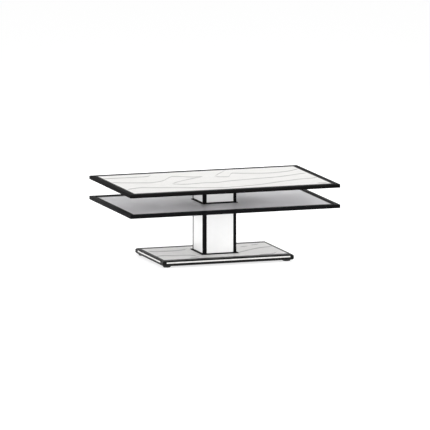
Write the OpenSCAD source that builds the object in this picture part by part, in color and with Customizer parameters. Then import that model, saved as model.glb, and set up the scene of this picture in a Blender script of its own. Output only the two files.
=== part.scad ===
// Lift-top coffee table: a wooden top over a glass shelf, on a square telescoping
// pedestal with a locking gas spring, standing on a ballasted wooden base.
// Origin: centre of the footprint, on the floor. X runs along the long side,
// -Y is the front with the release paddle, +Z is up. Lengths are millimetres.

/* [Table] */
// Length of the table top
top_length = 1150; // [900:10:1400]
// Depth of the table top
top_depth = 700; // [560:10:850]
// Height of the lowered top surface above the floor
table_height = 413; // [405:1:460]
// How far the top rises on its gas spring
lift_travel = 220; // [140:5:225]

/* [Top board] */
// Thickness of the board at its middle
top_thickness = 24; // [20:1:28]
// Height of the visible edge
top_edge = 18; // [10:1:19]
// Width of the bevel that thins the board towards its edge
bevel_width = 90; // [60:5:110]
// Width of the dark lipping round the edge
lipping_width = 28; // [8:1:32]
// Radius of the upright corners of the top
top_corner = 4; // [2:0.5:10]
// Distance between the two steel battens let into the underside
batten_spacing = 800; // [520:10:820]
// Width of a batten
batten_width = 30; // [20:1:40]
// Thickness of a batten
batten_thickness = 5; // [4:0.5:8]

/* [Shelf] */
// Distance from the top surface down to the shelf surface
shelf_drop = 110; // [95:1:130]
// How far the shelf stays inside the outline of the top
shelf_inset = 0; // [0:5:60]
// Thickness of the glass
glass_thickness = 12; // [8:1:14]
// How far the dark trim reaches over the glass
trim_width = 26; // [8:1:30]
// Thickness of the trim's metal
trim_thickness = 3; // [1.5:0.5:4]
// Gap between the column and the cut-out in the glass
shelf_gap = 3; // [2:0.5:5]
// Radius of the outer corners of the glass
shelf_corner = 4; // [2:0.5:10]
// Length of the steel carrier under the glass
shelf_carrier_length = 440; // [380:10:560]
// Depth of the steel carrier under the glass
shelf_carrier_depth = 300; // [280:10:360]

/* [Base] */
// Length of the base plate
base_length = 720; // [640:10:900]
// Depth of the base plate
base_depth = 465; // [420:5:560]
// Thickness of the base plate
base_thickness = 28; // [22:1:32]
// Width of the dark bevel along the edges of the base plate
base_edge = 7; // [1:0.5:8]
// Radius of the upright corners of the base plate
base_corner = 3; // [1:0.5:8]
// Wood left around the ballast plate
ballast_margin = 60; // [56:2:80]
// Thickness of the ballast plate
ballast_thickness = 8; // [6:1:10]
// Diameter of a glide
glide_diameter = 42; // [36:1:50]
// Height of a glide
glide_height = 6; // [4:1:10]
// Distance from the edges of the base to the centre of a glide
glide_inset = 31; // [28:1:36]

/* [Column] */
// Outside width of the square column, over its panels
column_width = 182; // [156:1:200]
// Thickness of the panels that clad the column
panel_thickness = 3; // [2:0.5:5]
// Reach of the dark corner profiles over each face of the sleeve
profile_width = 15; // [3:0.5:16]
// Wall of the steel sleeve
column_wall = 3; // [2:0.5:4]
// Radius of the upright edges of the steel sleeve
column_corner = 4; // [3:0.5:8]
// Space between the sleeve and the lift tube, filled by the guides
slide_gap = 7; // [6:0.5:9]
// Wall of the lift tube
tube_wall = 2.5; // [2:0.5:3.5]
// Running clearance of the guides
guide_clearance = 0.4; // [0.3:0.05:0.6]
// Depth of the guide collar inside the sleeve
collar_depth = 35; // [25:1:45]
// Height of the guide shoes on the lift tube
shoe_height = 30; // [20:1:38]
// Thickness of the foot plate
foot_plate_thickness = 8; // [6:1:12]
// Width of the dark cover round the foot of the column
foot_cover_width = 9; // [6:1:30]
// Distance between the bolts that hold the column down
bolt_spacing = 110; // [90:1:112]

/* [Lift mechanism] */
// Outside diameter of the gas spring
spring_diameter = 28; // [24:1:32]
// Diameter of the piston rod
rod_diameter = 10; // [8:1:12]
// Length of the carrier plate under the top
carrier_length = 420; // [360:10:480]
// Depth of the carrier plate under the top
carrier_depth = 300; // [280:10:320]
// Thickness of the carrier plate
carrier_thickness = 5; // [4:0.5:8]
// Diameter of the release shaft
shaft_diameter = 8; // [6:0.5:10]
// Distance from the release shaft to the valve pin
finger_length = 30; // [26:1:36]
// Reach of the paddle from the shaft
paddle_length = 70; // [60:1:80]
// Width of the paddle along the shaft
paddle_width = 46; // [36:1:56]
// How far the paddle is pressed, in degrees
press_angle = 6; // [4:0.5:7]

/* [Hidden] */
$fn = 96;
cut = 1;                    // how far a cutting tool runs past the face it cuts
fit = 0.05;                 // radial clearance of a screw, pin or plug in its seat
seat_gap = 0.1;             // clearance of a welded or glued-in plate in its seat
rest_gap = 0.3;             // what stays between a moving part and its stop
edge_break = 1;             // chamfer that takes the sharp edge off the lipping and the glass
trim_edge = 0.5;            // the same on the metal trim

// Base, from the floor up
pad_thickness = 3;
pad_recess = 1;
pad_margin = 3;             // rim of the glide around its pad
glide_chamfer = 1;
base_z = glide_height + pad_thickness - pad_recess;
base_top = base_z + base_thickness;
ballast_length = base_length - 2 * ballast_margin;
ballast_depth = base_depth - 2 * ballast_margin;
ballast_corner = 10;
ballast_screw_inset = 25;
ballast_gap = 0.5;          // clearance of the ballast plate in its pocket
glide_x = base_length / 2 - glide_inset;
glide_y = base_depth / 2 - glide_inset;

// Column, from the base up
gasket_thickness = 2;
sleeve_z = base_top + gasket_thickness;
sleeve_width = column_width - 2 * panel_thickness;
sleeve_inside = sleeve_width - 2 * column_wall;
foot_cover_height = 4;
foot_gap = 2;               // dark line between the cover and the panels
panel_gap = 6;              // the same above the shelf, below the gussets and below the collar
panel_width = sleeve_width - 2 * profile_width;
inner_corner = 2;           // of what slides or stands inside the sleeve
foot_top = sleeve_z + foot_plate_thickness;
bumper_diameter = 16;
bumper_height = 6;
bumper_reach = sleeve_inside / 2 - bumper_diameter / 2 - 1;
shoe_lip = 5;               // floor of the guide shoes, under the end of the tube
shoe_ledge = 3;             // how far that floor reaches inside the tube
shoe_z = foot_top + bumper_height + rest_gap;
tube_z = shoe_z + shoe_lip;
tube_width = sleeve_inside - 2 * slide_gap;
tube_corner = 3;
tube_inside = tube_width - 2 * tube_wall;

// Top, from the surface down
board_z = table_height - top_thickness;
edge_z = table_height - top_edge;
board_length = top_length - 2 * lipping_width;
board_depth = top_depth - 2 * lipping_width;
board_corner = max(top_corner - lipping_width, 0.5);
carrier_z = board_z - carrier_thickness;
carrier_corner = 12;
collar_gap = 4;             // air between the collar and the carrier when lowered
collar_flange = 4;
collar_top = carrier_z - collar_gap;
sleeve_top = collar_top - collar_flange;
collar_z = sleeve_top - collar_depth;
batten_margin = 10;         // from the ends of a batten to the bevel
batten_length = board_depth - 2 * (bevel_width + batten_margin);
batten_corner = 4;
batten_end = 20;            // from the ends of a batten to its outer screws
batten_screw_pitch = (batten_length - 2 * batten_end) / 3;

// Shelf
shelf_top = table_height - shelf_drop;
shelf_z = shelf_top - glass_thickness;
shelf_length = top_length - 2 * shelf_inset;
shelf_depth = top_depth - 2 * shelf_inset;
shelf_pad_thickness = 2;
shelf_pad_diameter = 20;
shelf_pad_inset = 24;       // from the carrier's edge to the centre of a pad
shelf_carrier_thickness = 5;
shelf_carrier_corner = 20;
shelf_carrier_top = shelf_z - shelf_pad_thickness;
shelf_carrier_z = shelf_carrier_top - shelf_carrier_thickness;
cutout_width = column_width + 2 * shelf_gap;
cutout_corner = column_corner + shelf_gap;
glass_length = shelf_length - 2 * trim_thickness;
glass_depth = shelf_depth - 2 * trim_thickness;
glass_corner = max(shelf_corner - trim_thickness, 0.5);
gusset_height = 30;
gusset_thickness = 5;
gusset_nose = 3;            // blunt height of a gusset's tip
gusset_spacing = 100;
gusset_margin = 10;         // from the tip of a gusset to the carrier's edge
lip_width = 5;              // of the gasket's lip, over the glass
lip_thickness = 1.5;

// Gas spring: the rod stands on the foot plate, the cylinder hangs from the carrier
spring_radius = spring_diameter / 2;
bore_radius = spring_radius - 1.5;
neck_radius = spring_radius - 5;
neck_height = 4;
spring_top = carrier_z - neck_height;
spring_cap = 15;
spring_room = 12;           // gas space left above the piston
gland_height = 13;
gland_lip = 1;              // rolled end of the cylinder, under the gland
piston_height = 12;
piston_z = spring_top - spring_cap - spring_room - piston_height;
spring_z = piston_z - rest_gap - lift_travel - gland_height - gland_lip;
spring_length = spring_top - spring_z;
rod_radius = rod_diameter / 2;
rod_z = sleeve_z;
rod_top = piston_z + piston_height;
nut_height = 8;
nut_across_flats = rod_diameter + 7;
socket_radius = spring_radius + 8;
socket_height = 30;

// Release: shaft along Y beside the valve pin, in a groove under the board
shaft_radius = shaft_diameter / 2;
hub_wall = 2;               // of the finger, the paddle and the bearings, round the shaft
hub_radius = shaft_radius + hub_wall;
shaft_z = board_z + hub_radius;
finger_width = 8;
finger_thickness = 6;
finger_tip_radius = shaft_radius - 0.5;
finger_hub_width = 12;
pin_radius = 3;
pin_top = shaft_z - finger_tip_radius - rest_gap;
pin_travel = finger_length * sin(press_angle);
pin_guide = 14;             // length of the pin inside the cylinder's cap
pin_bore_z = carrier_z - pin_guide - pin_travel - rest_gap;
paddle_thickness = 3;
paddle_bead = 2;            // radius of the rounded lip at the end of the paddle
paddle_setback = 10;        // from the start of the bevel to the recess
recess_margin = 8;          // finger room round the paddle
paddle_rise = paddle_length * sin(press_angle) + paddle_thickness;
recess_depth = max(2 * hub_radius, paddle_rise) + 1;
recess_front = -board_depth / 2 + bevel_width + paddle_setback;
paddle_front = recess_front + recess_margin;
paddle_back = paddle_front + paddle_width;
bearing_width = 36;
bearing_length = 12;
bearing_ear = 4;            // thickness of the two ears that take the screws
bearing_screw_spacing = 24;
running_clearance = 0.08;   // of the shaft in its bearings
end_play = 1;               // of the finger between its bearings, and of the paddle beside its own
inner_bearing_y = finger_hub_width / 2 + end_play + bearing_length / 2;
outer_bearing_y = paddle_back + end_play + bearing_length / 2;
bearing_ys = [inner_bearing_y, -inner_bearing_y, outer_bearing_y];
shaft_back = inner_bearing_y + bearing_length / 2;
window_margin = 2;          // air round the finger in the carrier's window
window_left = -finger_tip_radius - 2 * window_margin;
window_right = finger_length + hub_radius + window_margin;
window_width = finger_hub_width + 2 * end_play;
roll_pin_radius = 1.25;     // of the pins that lock the finger and the paddle to the shaft
roll_pin_ys = [0, (paddle_front + paddle_back) / 2];

// Fasteners: shank diameter, head diameter, length
wood_screw = [4.5, 9, 20];
small_screw = [3, 6, 14];
collar_screw = [5, 9, column_wall + slide_gap - guide_clearance - 2];
shoe_screw_depth = 0.2;     // of the heads, under the sliding face
shoe_screw = [4, 7, slide_gap + tube_wall - guide_clearance - shoe_screw_depth];
bolt_length = base_thickness + gasket_thickness + foot_plate_thickness - 0.5;
column_bolt = [8, 16, bolt_length];
hex_socket = [5, 4];        // across flats, depth
side_screw_offset = 45;     // of the collar's and the shoes' screws, from the middle of a side
carrier_screw = [5, 11, 17];
carrier_screw_inset = 20;   // from the carrier's edges
carrier_screw_offset = 65;  // of the middle screws along the carrier's long sides
pan_head_height = 3;
carrier_slot_length = 12;   // lets the board shrink and swell across the grain

// ---- Shapes that repeat ----

// A centred rectangle with round corners
module rounded_rectangle(width, depth, radius) {
    square([width - 2 * radius, depth], center = true);
    square([width, depth - 2 * radius], center = true);
    for (x = [-1, 1], y = [-1, 1])
        translate([x * (width / 2 - radius), y * (depth / 2 - radius)]) circle(r = radius);
}

// A flat plate standing on z
module plate(width, depth, z, height, radius) {
    translate([0, 0, z]) linear_extrude(height) rounded_rectangle(width, depth, radius);
}

// What is cut away for a rectangular opening through a plate
module opening(width, depth, z, height, radius) {
    plate(width, depth, z - cut, height + 2 * cut, radius);
}

// What is cut away for a round hole through a plate
module bore(z, height, radius) {
    translate([0, 0, z - cut]) cylinder(h = height + 2 * cut, r = radius);
}

// A square tube standing on z
module square_tube(width, wall, z, height, radius) {
    inside = width - 2 * wall;
    difference() {
        plate(width, width, z, height, radius);
        opening(inside, inside, z, height, max(radius - wall, 0.5));
    }
}

// Copies at the four corners of a rectangle
module at_corners(x, y) {
    for (sx = [-1, 1], sy = [-1, 1]) translate([sx * x, sy * y, 0]) children();
}

// Copies turned to each side of the column
module on_each_side() {
    for (turn = [0:90:270]) rotate(turn) children();
}

// Copies in the middle of the two sides along X, and of the two along Y
module at_middles(x, y) {
    for (side = [-1, 1]) translate([side * x, 0, 0]) children();
    for (side = [-1, 1]) translate([0, side * y, 0]) children();
}

// A hexagonal bar standing on z
module hexagon(across_flats, z, height) {
    translate([0, 0, z]) cylinder(h = height, d = across_flats / cos(30), $fn = 6);
}

// A countersunk screw with its head flush at z = 0 and its shank upwards
module countersunk_screw(screw) {
    head_depth = (screw[1] - screw[0]) / 2;
    cylinder(h = head_depth, d1 = screw[1], d2 = screw[0]);
    cylinder(h = screw[2], d = screw[0]);
}

// The hole that such a screw sits in
module countersunk_hole(screw) {
    head_depth = (screw[1] - screw[0]) / 2;
    clearance = 2 * fit;
    translate([0, 0, -cut]) cylinder(h = cut, d = screw[1] + clearance);
    cylinder(h = head_depth, d1 = screw[1] + clearance, d2 = screw[0] + clearance);
    cylinder(h = screw[2] + fit, d = screw[0] + clearance);
}

// A prism whose outline is drawn in Y and Z, centred on X
module prism_along_x(length) {
    rotate([90, 0, 90]) linear_extrude(length, center = true) children();
}

// The wood or glass taken off one edge of a board, drawn for the side facing +Y.
// up is 1 for an upper edge and -1 for a lower one.
module edge_wedge(reach, z, up, size, run) {
    prism_along_x(run + 2 * cut)
        polygon([
            [reach - size, z + up * cut],
            [reach - size, z],
            [reach, z - up * size],
            [reach + cut, z - up * size],
            [reach + cut, z + up * cut]
        ]);
}

// The same along all four sides of a board
module edge_wedges(width, depth, z, up, size) {
    for (turn = [0, 180]) rotate(turn) edge_wedge(depth / 2, z, up, size, width);
    for (turn = [90, 270]) rotate(turn) edge_wedge(width / 2, z, up, size, depth);
}

// A cylinder on the release shaft's axis, from one Y to a lower one
module on_shaft(from_y, to_y, radius) {
    translate([finger_length, from_y, shaft_z]) rotate([90, 0, 0]) cylinder(h = from_y - to_y, r = radius);
}

// ---- Base ----

module ballast_screw_places() {
    x = ballast_length / 2 - ballast_screw_inset;
    y = ballast_depth / 2 - ballast_screw_inset;
    translate([0, 0, base_z]) {
        at_corners(x, y) children();
        at_middles(x, y) children();
    }
}

module glide_screw_places() {
    translate([0, 0, pad_thickness]) at_corners(glide_x, glide_y) children();
}

module column_bolt_places() {
    translate([0, 0, base_z]) at_corners(bolt_spacing / 2, bolt_spacing / 2) children();
}

module base_plate() {
    color([0.88, 0.86, 0.81])
        difference() {
            plate(base_length, base_depth, base_z, base_thickness, base_corner);
            edge_wedges(base_length, base_depth, base_top, 1, base_edge);
            edge_wedges(base_length, base_depth, base_z, -1, base_edge);
            plate(ballast_length + 2 * ballast_gap, ballast_depth + 2 * ballast_gap, base_z - cut,
                ballast_thickness + cut, ballast_corner + ballast_gap);
            ballast_screw_places() countersunk_hole(wood_screw);
            column_bolt_places() cylinder(h = base_thickness + cut, d = column_bolt[0] + 1);
            glide_screw_places() countersunk_hole(wood_screw);
        }
}

module ballast_plate() {
    color([0.35, 0.36, 0.38])
        difference() {
            plate(ballast_length, ballast_depth, base_z, ballast_thickness, ballast_corner);
            ballast_screw_places() countersunk_hole(wood_screw);
            column_bolt_places() countersunk_hole(column_bolt);
        }
}

module ballast_screws() {
    color([0.75, 0.76, 0.78]) ballast_screw_places() countersunk_screw(wood_screw);
}

module glide_feet() {
    bottom = pad_thickness - pad_recess;
    radius = glide_diameter / 2;
    color([0.12, 0.12, 0.13])
        at_corners(glide_x, glide_y)
            difference() {
                rotate_extrude()
                    polygon([
                        [0, bottom], [radius - glide_chamfer, bottom],
                        [radius, bottom + glide_chamfer], [radius, base_z], [0, base_z]
                    ]);
                cylinder(h = pad_thickness, r = radius - pad_margin + seat_gap);
                translate([0, 0, pad_thickness]) countersunk_hole(wood_screw);
            }
}

module glide_pads() {
    color([0.35, 0.34, 0.33])
        at_corners(glide_x, glide_y)
            cylinder(h = pad_thickness, r = glide_diameter / 2 - pad_margin);
}

module glide_screws() {
    color([0.75, 0.76, 0.78]) glide_screw_places() countersunk_screw(wood_screw);
}

// ---- Fixed column ----

module base_gasket() {
    color([0.1, 0.1, 0.1])
        difference() {
            plate(sleeve_width, sleeve_width, base_top, gasket_thickness, column_corner);
            column_bolt_places() cylinder(h = base_top, d = column_bolt[0] + 1);
        }
}

module foot_plate() {
    width = sleeve_inside - 2 * seat_gap;
    color([0.45, 0.46, 0.48])
        difference() {
            plate(width, width, sleeve_z, foot_plate_thickness, inner_corner);
            bore(sleeve_z, foot_plate_thickness, rod_radius + fit);
            at_corners(bolt_spacing / 2, bolt_spacing / 2)
                bore(sleeve_z, foot_plate_thickness, column_bolt[0] / 2 + fit);
        }
}

module column_bolts() {
    color([0.2, 0.2, 0.21])
        column_bolt_places()
            difference() {
                countersunk_screw(column_bolt);
                hexagon(hex_socket[0], -cut, hex_socket[1] + cut);
            }
}

module collar_screw_places() {
    z = sleeve_top - collar_depth / 2;
    for (side = [0, 180], y = [-1, 1])
        rotate(side) translate([sleeve_width / 2, y * side_screw_offset, z])
            rotate([0, -90, 0]) children();
}

module column_sleeve() {
    color([0.1, 0.1, 0.11])
        difference() {
            square_tube(sleeve_width, column_wall, sleeve_z, sleeve_top - sleeve_z, column_corner);
            collar_screw_places() countersunk_hole(collar_screw);
        }
}

// Four panels bonded to the faces of the sleeve, between two heights
module panel_ring(bottom, top) {
    on_each_side() translate([sleeve_width / 2, -panel_width / 2, bottom])
        cube([panel_thickness, panel_width, top - bottom]);
}

module column_panels() {
    color([0.95, 0.95, 0.95]) {
        panel_ring(base_top + foot_cover_height + foot_gap, shelf_carrier_z - gusset_height - panel_gap);
        panel_ring(shelf_top + lip_thickness + panel_gap, sleeve_top - panel_gap);
    }
}

// Four angles over the corners of the sleeve, flush with the panels, between two heights
module corner_angles(bottom, top) {
    seat = sleeve_width + 2 * seat_gap;
    span = panel_width + 2 * seat_gap;
    height = top - bottom;
    difference() {
        plate(column_width, column_width, bottom, height, column_corner);
        opening(seat, seat, bottom, height, column_corner);
        for (turn = [0, 90])
            rotate(turn) translate([-column_width, -span / 2, bottom - cut])
                cube([2 * column_width, span, height + 2 * cut]);
    }
}

module corner_profiles() {
    color([0.1, 0.1, 0.11]) {
        corner_angles(sleeve_z, shelf_carrier_z - seat_gap);
        corner_angles(shelf_top + lip_thickness + seat_gap, sleeve_top - seat_gap);
    }
}

module foot_cover() {
    outside = column_width + 2 * foot_cover_width;
    seat = column_width + 2 * seat_gap;
    color([0.1, 0.1, 0.11])
        difference() {
            plate(outside, outside, base_top, foot_cover_height, column_corner);
            opening(seat, seat, base_top, foot_cover_height, column_corner);
            edge_wedges(outside, outside, base_top + foot_cover_height, 1, edge_break);
        }
}

module rest_bumpers() {
    color([0.1, 0.1, 0.1])
        on_each_side() translate([bumper_reach, 0, foot_top])
            cylinder(h = bumper_height, d = bumper_diameter);
}

module guide_collar() {
    slideway = tube_width + 2 * guide_clearance;
    neck = sleeve_inside - 2 * seat_gap;
    color([0.1, 0.1, 0.11])
        difference() {
            union() {
                plate(column_width, column_width, sleeve_top, collar_flange, column_corner);
                plate(neck, neck, collar_z, collar_depth, inner_corner);
            }
            opening(slideway, slideway, collar_z, collar_top - collar_z, tube_corner + guide_clearance);
            collar_screw_places() countersunk_hole(collar_screw);
        }
}

module collar_screws() {
    color([0.75, 0.76, 0.78]) collar_screw_places() countersunk_screw(collar_screw);
}

// ---- Shelf ----

// Pair of triangular ribs under the carrier, drawn for the side facing +X
module gusset(reach) {
    length = reach - sleeve_width / 2 - gusset_margin;
    for (side = [-1, 1])
        translate([sleeve_width / 2, side * gusset_spacing / 2, shelf_carrier_z])
            rotate([90, 0, 0]) linear_extrude(gusset_thickness, center = true)
                polygon([
                    [0, 0], [length, 0], [length, -gusset_nose],
                    [2 * gusset_nose, -gusset_height], [0, -gusset_height]
                ]);
}

module shelf_carrier() {
    length = shelf_carrier_length;
    depth = shelf_carrier_depth;
    thickness = shelf_carrier_thickness;
    seat = sleeve_width + 2 * seat_gap;
    color([0.3, 0.3, 0.32])
        difference() {
            union() {
                plate(length, depth, shelf_carrier_z, thickness, shelf_carrier_corner);
                for (turn = [0, 180]) rotate(turn) gusset(length / 2);
                for (turn = [90, 270]) rotate(turn) gusset(depth / 2);
            }
            opening(seat, seat, shelf_carrier_z - gusset_height, gusset_height + thickness, column_corner);
        }
}

module shelf_pads() {
    x = shelf_carrier_length / 2 - shelf_pad_inset;
    y = shelf_carrier_depth / 2 - shelf_pad_inset;
    color([0.8, 0.82, 0.84])
        translate([0, 0, shelf_carrier_top]) {
            at_corners(x, y) cylinder(h = shelf_pad_thickness, d = shelf_pad_diameter);
            at_middles(x, y) cylinder(h = shelf_pad_thickness, d = shelf_pad_diameter);
        }
}

module glass_shelf() {
    color([0.7, 0.69, 0.71])
        difference() {
            plate(glass_length, glass_depth, shelf_z, glass_thickness, glass_corner);
            opening(cutout_width, cutout_width, shelf_z, glass_thickness, cutout_corner);
            edge_wedges(glass_length, glass_depth, shelf_top, 1, edge_break);
            edge_wedges(glass_length, glass_depth, shelf_z, -1, edge_break);
        }
}

// U-shaped metal trim pushed on to the edge of the glass
module shelf_trim() {
    bottom = shelf_z - trim_thickness;
    height = glass_thickness + 2 * trim_thickness;
    rim = 2 * trim_width;
    color([0.1, 0.1, 0.11])
        difference() {
            plate(shelf_length, shelf_depth, bottom, height, shelf_corner);
            opening(shelf_length - rim, shelf_depth - rim, bottom, height, glass_corner);
            plate(glass_length + 2 * fit, glass_depth + 2 * fit, shelf_z - fit,
                glass_thickness + 2 * fit, glass_corner);
            edge_wedges(shelf_length, shelf_depth, bottom + height, 1, trim_edge);
            edge_wedges(shelf_length, shelf_depth, bottom, -1, trim_edge);
        }
}

module shelf_gasket() {
    outside = cutout_width - 2 * seat_gap;
    lip = cutout_width + 2 * lip_width;
    seat = sleeve_width + 2 * seat_gap;
    height = shelf_top - shelf_carrier_top;
    color([0.1, 0.1, 0.1])
        difference() {
            union() {
                plate(outside, outside, shelf_carrier_top, height, cutout_corner);
                plate(lip, lip, shelf_top, lip_thickness, cutout_corner);
            }
            opening(seat, seat, shelf_carrier_top, height + lip_thickness, column_corner);
        }
}

// ---- Gas spring ----

module spring_rod() {
    color([0.8, 0.81, 0.83]) translate([0, 0, rod_z]) cylinder(h = rod_top - rod_z, r = rod_radius);
}

module spring_piston() {
    color([0.6, 0.55, 0.4])
        difference() {
            translate([0, 0, piston_z]) cylinder(h = piston_height, r = bore_radius - seat_gap);
            bore(piston_z, piston_height, rod_radius + fit);
        }
}

module rod_nut() {
    color([0.75, 0.76, 0.78])
        difference() {
            hexagon(nut_across_flats, foot_top, nut_height);
            bore(foot_top, nut_height, rod_radius + fit);
        }
}

module spring_cylinder() {
    color([0.13, 0.13, 0.14])
        difference() {
            union() {
                translate([0, 0, spring_z]) cylinder(h = spring_length, r = spring_radius);
                translate([0, 0, spring_top]) cylinder(h = neck_height, r = neck_radius);
            }
            translate([0, 0, spring_z + gland_lip])
                cylinder(h = spring_length - gland_lip - spring_cap, r = bore_radius);
            bore(spring_z, gland_lip, bore_radius - gland_lip);
            translate([0, 0, pin_bore_z]) cylinder(h = carrier_z - pin_bore_z + cut, r = pin_radius + fit);
        }
}

module spring_gland() {
    color([0.2, 0.2, 0.2])
        difference() {
            translate([0, 0, spring_z + gland_lip]) cylinder(h = gland_height, r = bore_radius - fit);
            bore(spring_z + gland_lip, gland_height, rod_radius + running_clearance);
        }
}

module spring_socket() {
    color([0.45, 0.46, 0.48])
        difference() {
            translate([0, 0, carrier_z - socket_height]) cylinder(h = socket_height, r = socket_radius);
            translate([0, 0, carrier_z - socket_height - cut])
                cylinder(h = socket_height - neck_height + cut, r = spring_radius + seat_gap);
            bore(spring_top, neck_height, neck_radius + seat_gap);
        }
}

module valve_pin() {
    bottom = pin_bore_z + pin_travel + rest_gap;
    color([0.85, 0.8, 0.55]) translate([0, 0, bottom]) cylinder(h = pin_top - bottom, r = pin_radius);
}

// ---- Lifting column ----

module shoe_screw_places() {
    z = tube_z + (shoe_height - shoe_lip) / 2;
    reach = sleeve_inside / 2 - guide_clearance - shoe_screw_depth;
    on_each_side() for (y = [-1, 1])
        translate([reach, y * side_screw_offset, z]) rotate([0, -90, 0]) children();
}

module lift_tube() {
    color([0.82, 0.83, 0.84])
        difference() {
            square_tube(tube_width, tube_wall, tube_z, carrier_z - tube_z, tube_corner);
            shoe_screw_places() countersunk_hole(shoe_screw);
        }
}

module guide_shoes() {
    outside = sleeve_inside - 2 * guide_clearance;
    seat = tube_width + 2 * seat_gap;
    hole = tube_inside - 2 * shoe_ledge;
    color([0.9, 0.9, 0.88])
        difference() {
            plate(outside, outside, shoe_z, shoe_height, inner_corner);
            plate(seat, seat, tube_z, shoe_height, tube_corner);
            opening(hole, hole, shoe_z, shoe_lip, inner_corner);
            shoe_screw_places() countersunk_hole(shoe_screw);
        }
}

module shoe_screws() {
    color([0.75, 0.76, 0.78]) shoe_screw_places() countersunk_screw(shoe_screw);
}

module carrier_screw_places() {
    x = carrier_length / 2 - carrier_screw_inset;
    y = carrier_depth / 2 - carrier_screw_inset;
    at_corners(x, y) children();
    at_corners(carrier_screw_offset, y) children();
    for (side = [-1, 1]) translate([side * x, 0, 0]) children();
}

// Long hole along Y, so that the board can move across its grain
module carrier_slot() {
    width = carrier_screw[0] + 1;
    reach = (carrier_slot_length - width) / 2;
    for (side = [-1, 1]) translate([0, side * reach, 0]) bore(carrier_z, carrier_thickness, width / 2);
    translate([-width / 2, -reach, carrier_z - cut]) cube([width, 2 * reach, carrier_thickness + 2 * cut]);
}

module top_carrier() {
    window = window_right - window_left;
    window_corner = 3;
    color([0.3, 0.3, 0.32])
        difference() {
            plate(carrier_length, carrier_depth, carrier_z, carrier_thickness, carrier_corner);
            carrier_screw_places() carrier_slot();
            translate([(window_left + window_right) / 2, 0, 0])
                opening(window, window_width, carrier_z, carrier_thickness, window_corner);
        }
}

module carrier_screws() {
    color([0.75, 0.76, 0.78])
        translate([0, 0, carrier_z]) carrier_screw_places() {
            translate([0, 0, -pan_head_height]) cylinder(h = pan_head_height, d = carrier_screw[1]);
            cylinder(h = carrier_screw[2], d = carrier_screw[0]);
        }
}

// ---- Top ----

module batten_places() {
    for (side = [-1, 1]) translate([side * batten_spacing / 2, 0, board_z]) children();
}

module batten_screw_places() {
    batten_places() for (step = [-1.5:1:1.5]) translate([0, step * batten_screw_pitch, 0]) children();
}

module bearing_screw_places() {
    for (y = bearing_ys, side = [-1, 1])
        translate([finger_length + side * bearing_screw_spacing / 2, y, board_z]) children();
}

// The wood taken away under the bevel, drawn for the side facing +Y
module bevel_wedge(reach, run) {
    slope = (edge_z - board_z) / bevel_width;
    prism_along_x(run + 2 * cut)
        polygon([
            [reach - bevel_width, board_z],
            [reach + cut, edge_z + slope * cut],
            [reach + cut, board_z - cut],
            [reach - bevel_width, board_z - cut]
        ]);
}

// Pockets under the board for the release shaft, its finger, its bearings and the paddle
module release_pockets() {
    bottom = board_z - cut;
    channel = hub_radius + seat_gap;
    ear_seat = bearing_width + 2 * seat_gap;
    translate([finger_length - channel, paddle_front, bottom])
        cube([2 * channel, shaft_back - paddle_front + seat_gap, shaft_z + channel - bottom]);
    translate([window_left, -window_width / 2, bottom])
        cube([window_right - window_left, window_width, recess_depth + cut]);
    for (y = bearing_ys)
        translate([finger_length - ear_seat / 2, y - bearing_length / 2 - seat_gap, bottom])
            cube([ear_seat, bearing_length + 2 * seat_gap, bearing_ear + seat_gap + cut]);
    translate([finger_length - hub_radius - window_margin, recess_front, bottom])
        cube([
            hub_radius + window_margin + paddle_length + recess_margin,
            paddle_width + recess_margin + end_play,
            recess_depth + cut
        ]);
}

module table_top() {
    color([0.88, 0.86, 0.81])
        difference() {
            plate(board_length, board_depth, board_z, top_thickness, board_corner);
            for (turn = [0, 180]) rotate(turn) bevel_wedge(board_depth / 2, board_length);
            for (turn = [90, 270]) rotate(turn) bevel_wedge(board_length / 2, board_depth);
            release_pockets();
            batten_places()
                plate(batten_width + 2 * seat_gap, batten_length + 2 * seat_gap, -cut,
                    batten_thickness + cut, batten_corner);
            batten_screw_places() countersunk_hole(small_screw);
            bearing_screw_places() countersunk_hole(small_screw);
            translate([0, 0, carrier_z]) carrier_screw_places()
                cylinder(h = carrier_screw[2] + fit, d = carrier_screw[0] + 2 * fit);
        }
}

module edge_lipping() {
    color([0.12, 0.12, 0.12])
        difference() {
            plate(top_length, top_depth, edge_z, top_edge, top_corner);
            opening(board_length + 2 * fit, board_depth + 2 * fit, edge_z, top_edge, board_corner);
            edge_wedges(top_length, top_depth, table_height, 1, edge_break);
            edge_wedges(top_length, top_depth, edge_z, -1, edge_break);
        }
}

module cross_battens() {
    color([0.3, 0.3, 0.32])
        difference() {
            batten_places() plate(batten_width, batten_length, 0, batten_thickness, batten_corner);
            batten_screw_places() countersunk_hole(small_screw);
        }
}

module batten_screws() {
    color([0.75, 0.76, 0.78]) batten_screw_places() countersunk_screw(small_screw);
}

// ---- Release ----

// A bearing without its bore: a round hump on two ears, flush with the underside of the board
module bearing_block(y) {
    translate([finger_length, y, 0]) rotate([90, 0, 0])
        linear_extrude(bearing_length, center = true) {
            translate([0, shaft_z]) circle(r = hub_radius);
            translate([-hub_radius, board_z]) square([2 * hub_radius, hub_radius]);
            translate([-bearing_width / 2, board_z]) square([bearing_width, bearing_ear]);
        }
}

module shaft_bearings() {
    color([0.9, 0.9, 0.88])
        difference() {
            for (y = bearing_ys) bearing_block(y);
            on_shaft(shaft_back + cut, outer_bearing_y - bearing_length, shaft_radius + running_clearance);
            bearing_screw_places() countersunk_hole(small_screw);
        }
}

module bearing_screws() {
    color([0.75, 0.76, 0.78]) bearing_screw_places() countersunk_screw(small_screw);
}

// Upright pins through the shaft, or their holes
module across_shaft(radius, length) {
    for (y = roll_pin_ys)
        translate([finger_length, y, shaft_z]) cylinder(h = length, r = radius, center = true);
}

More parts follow.
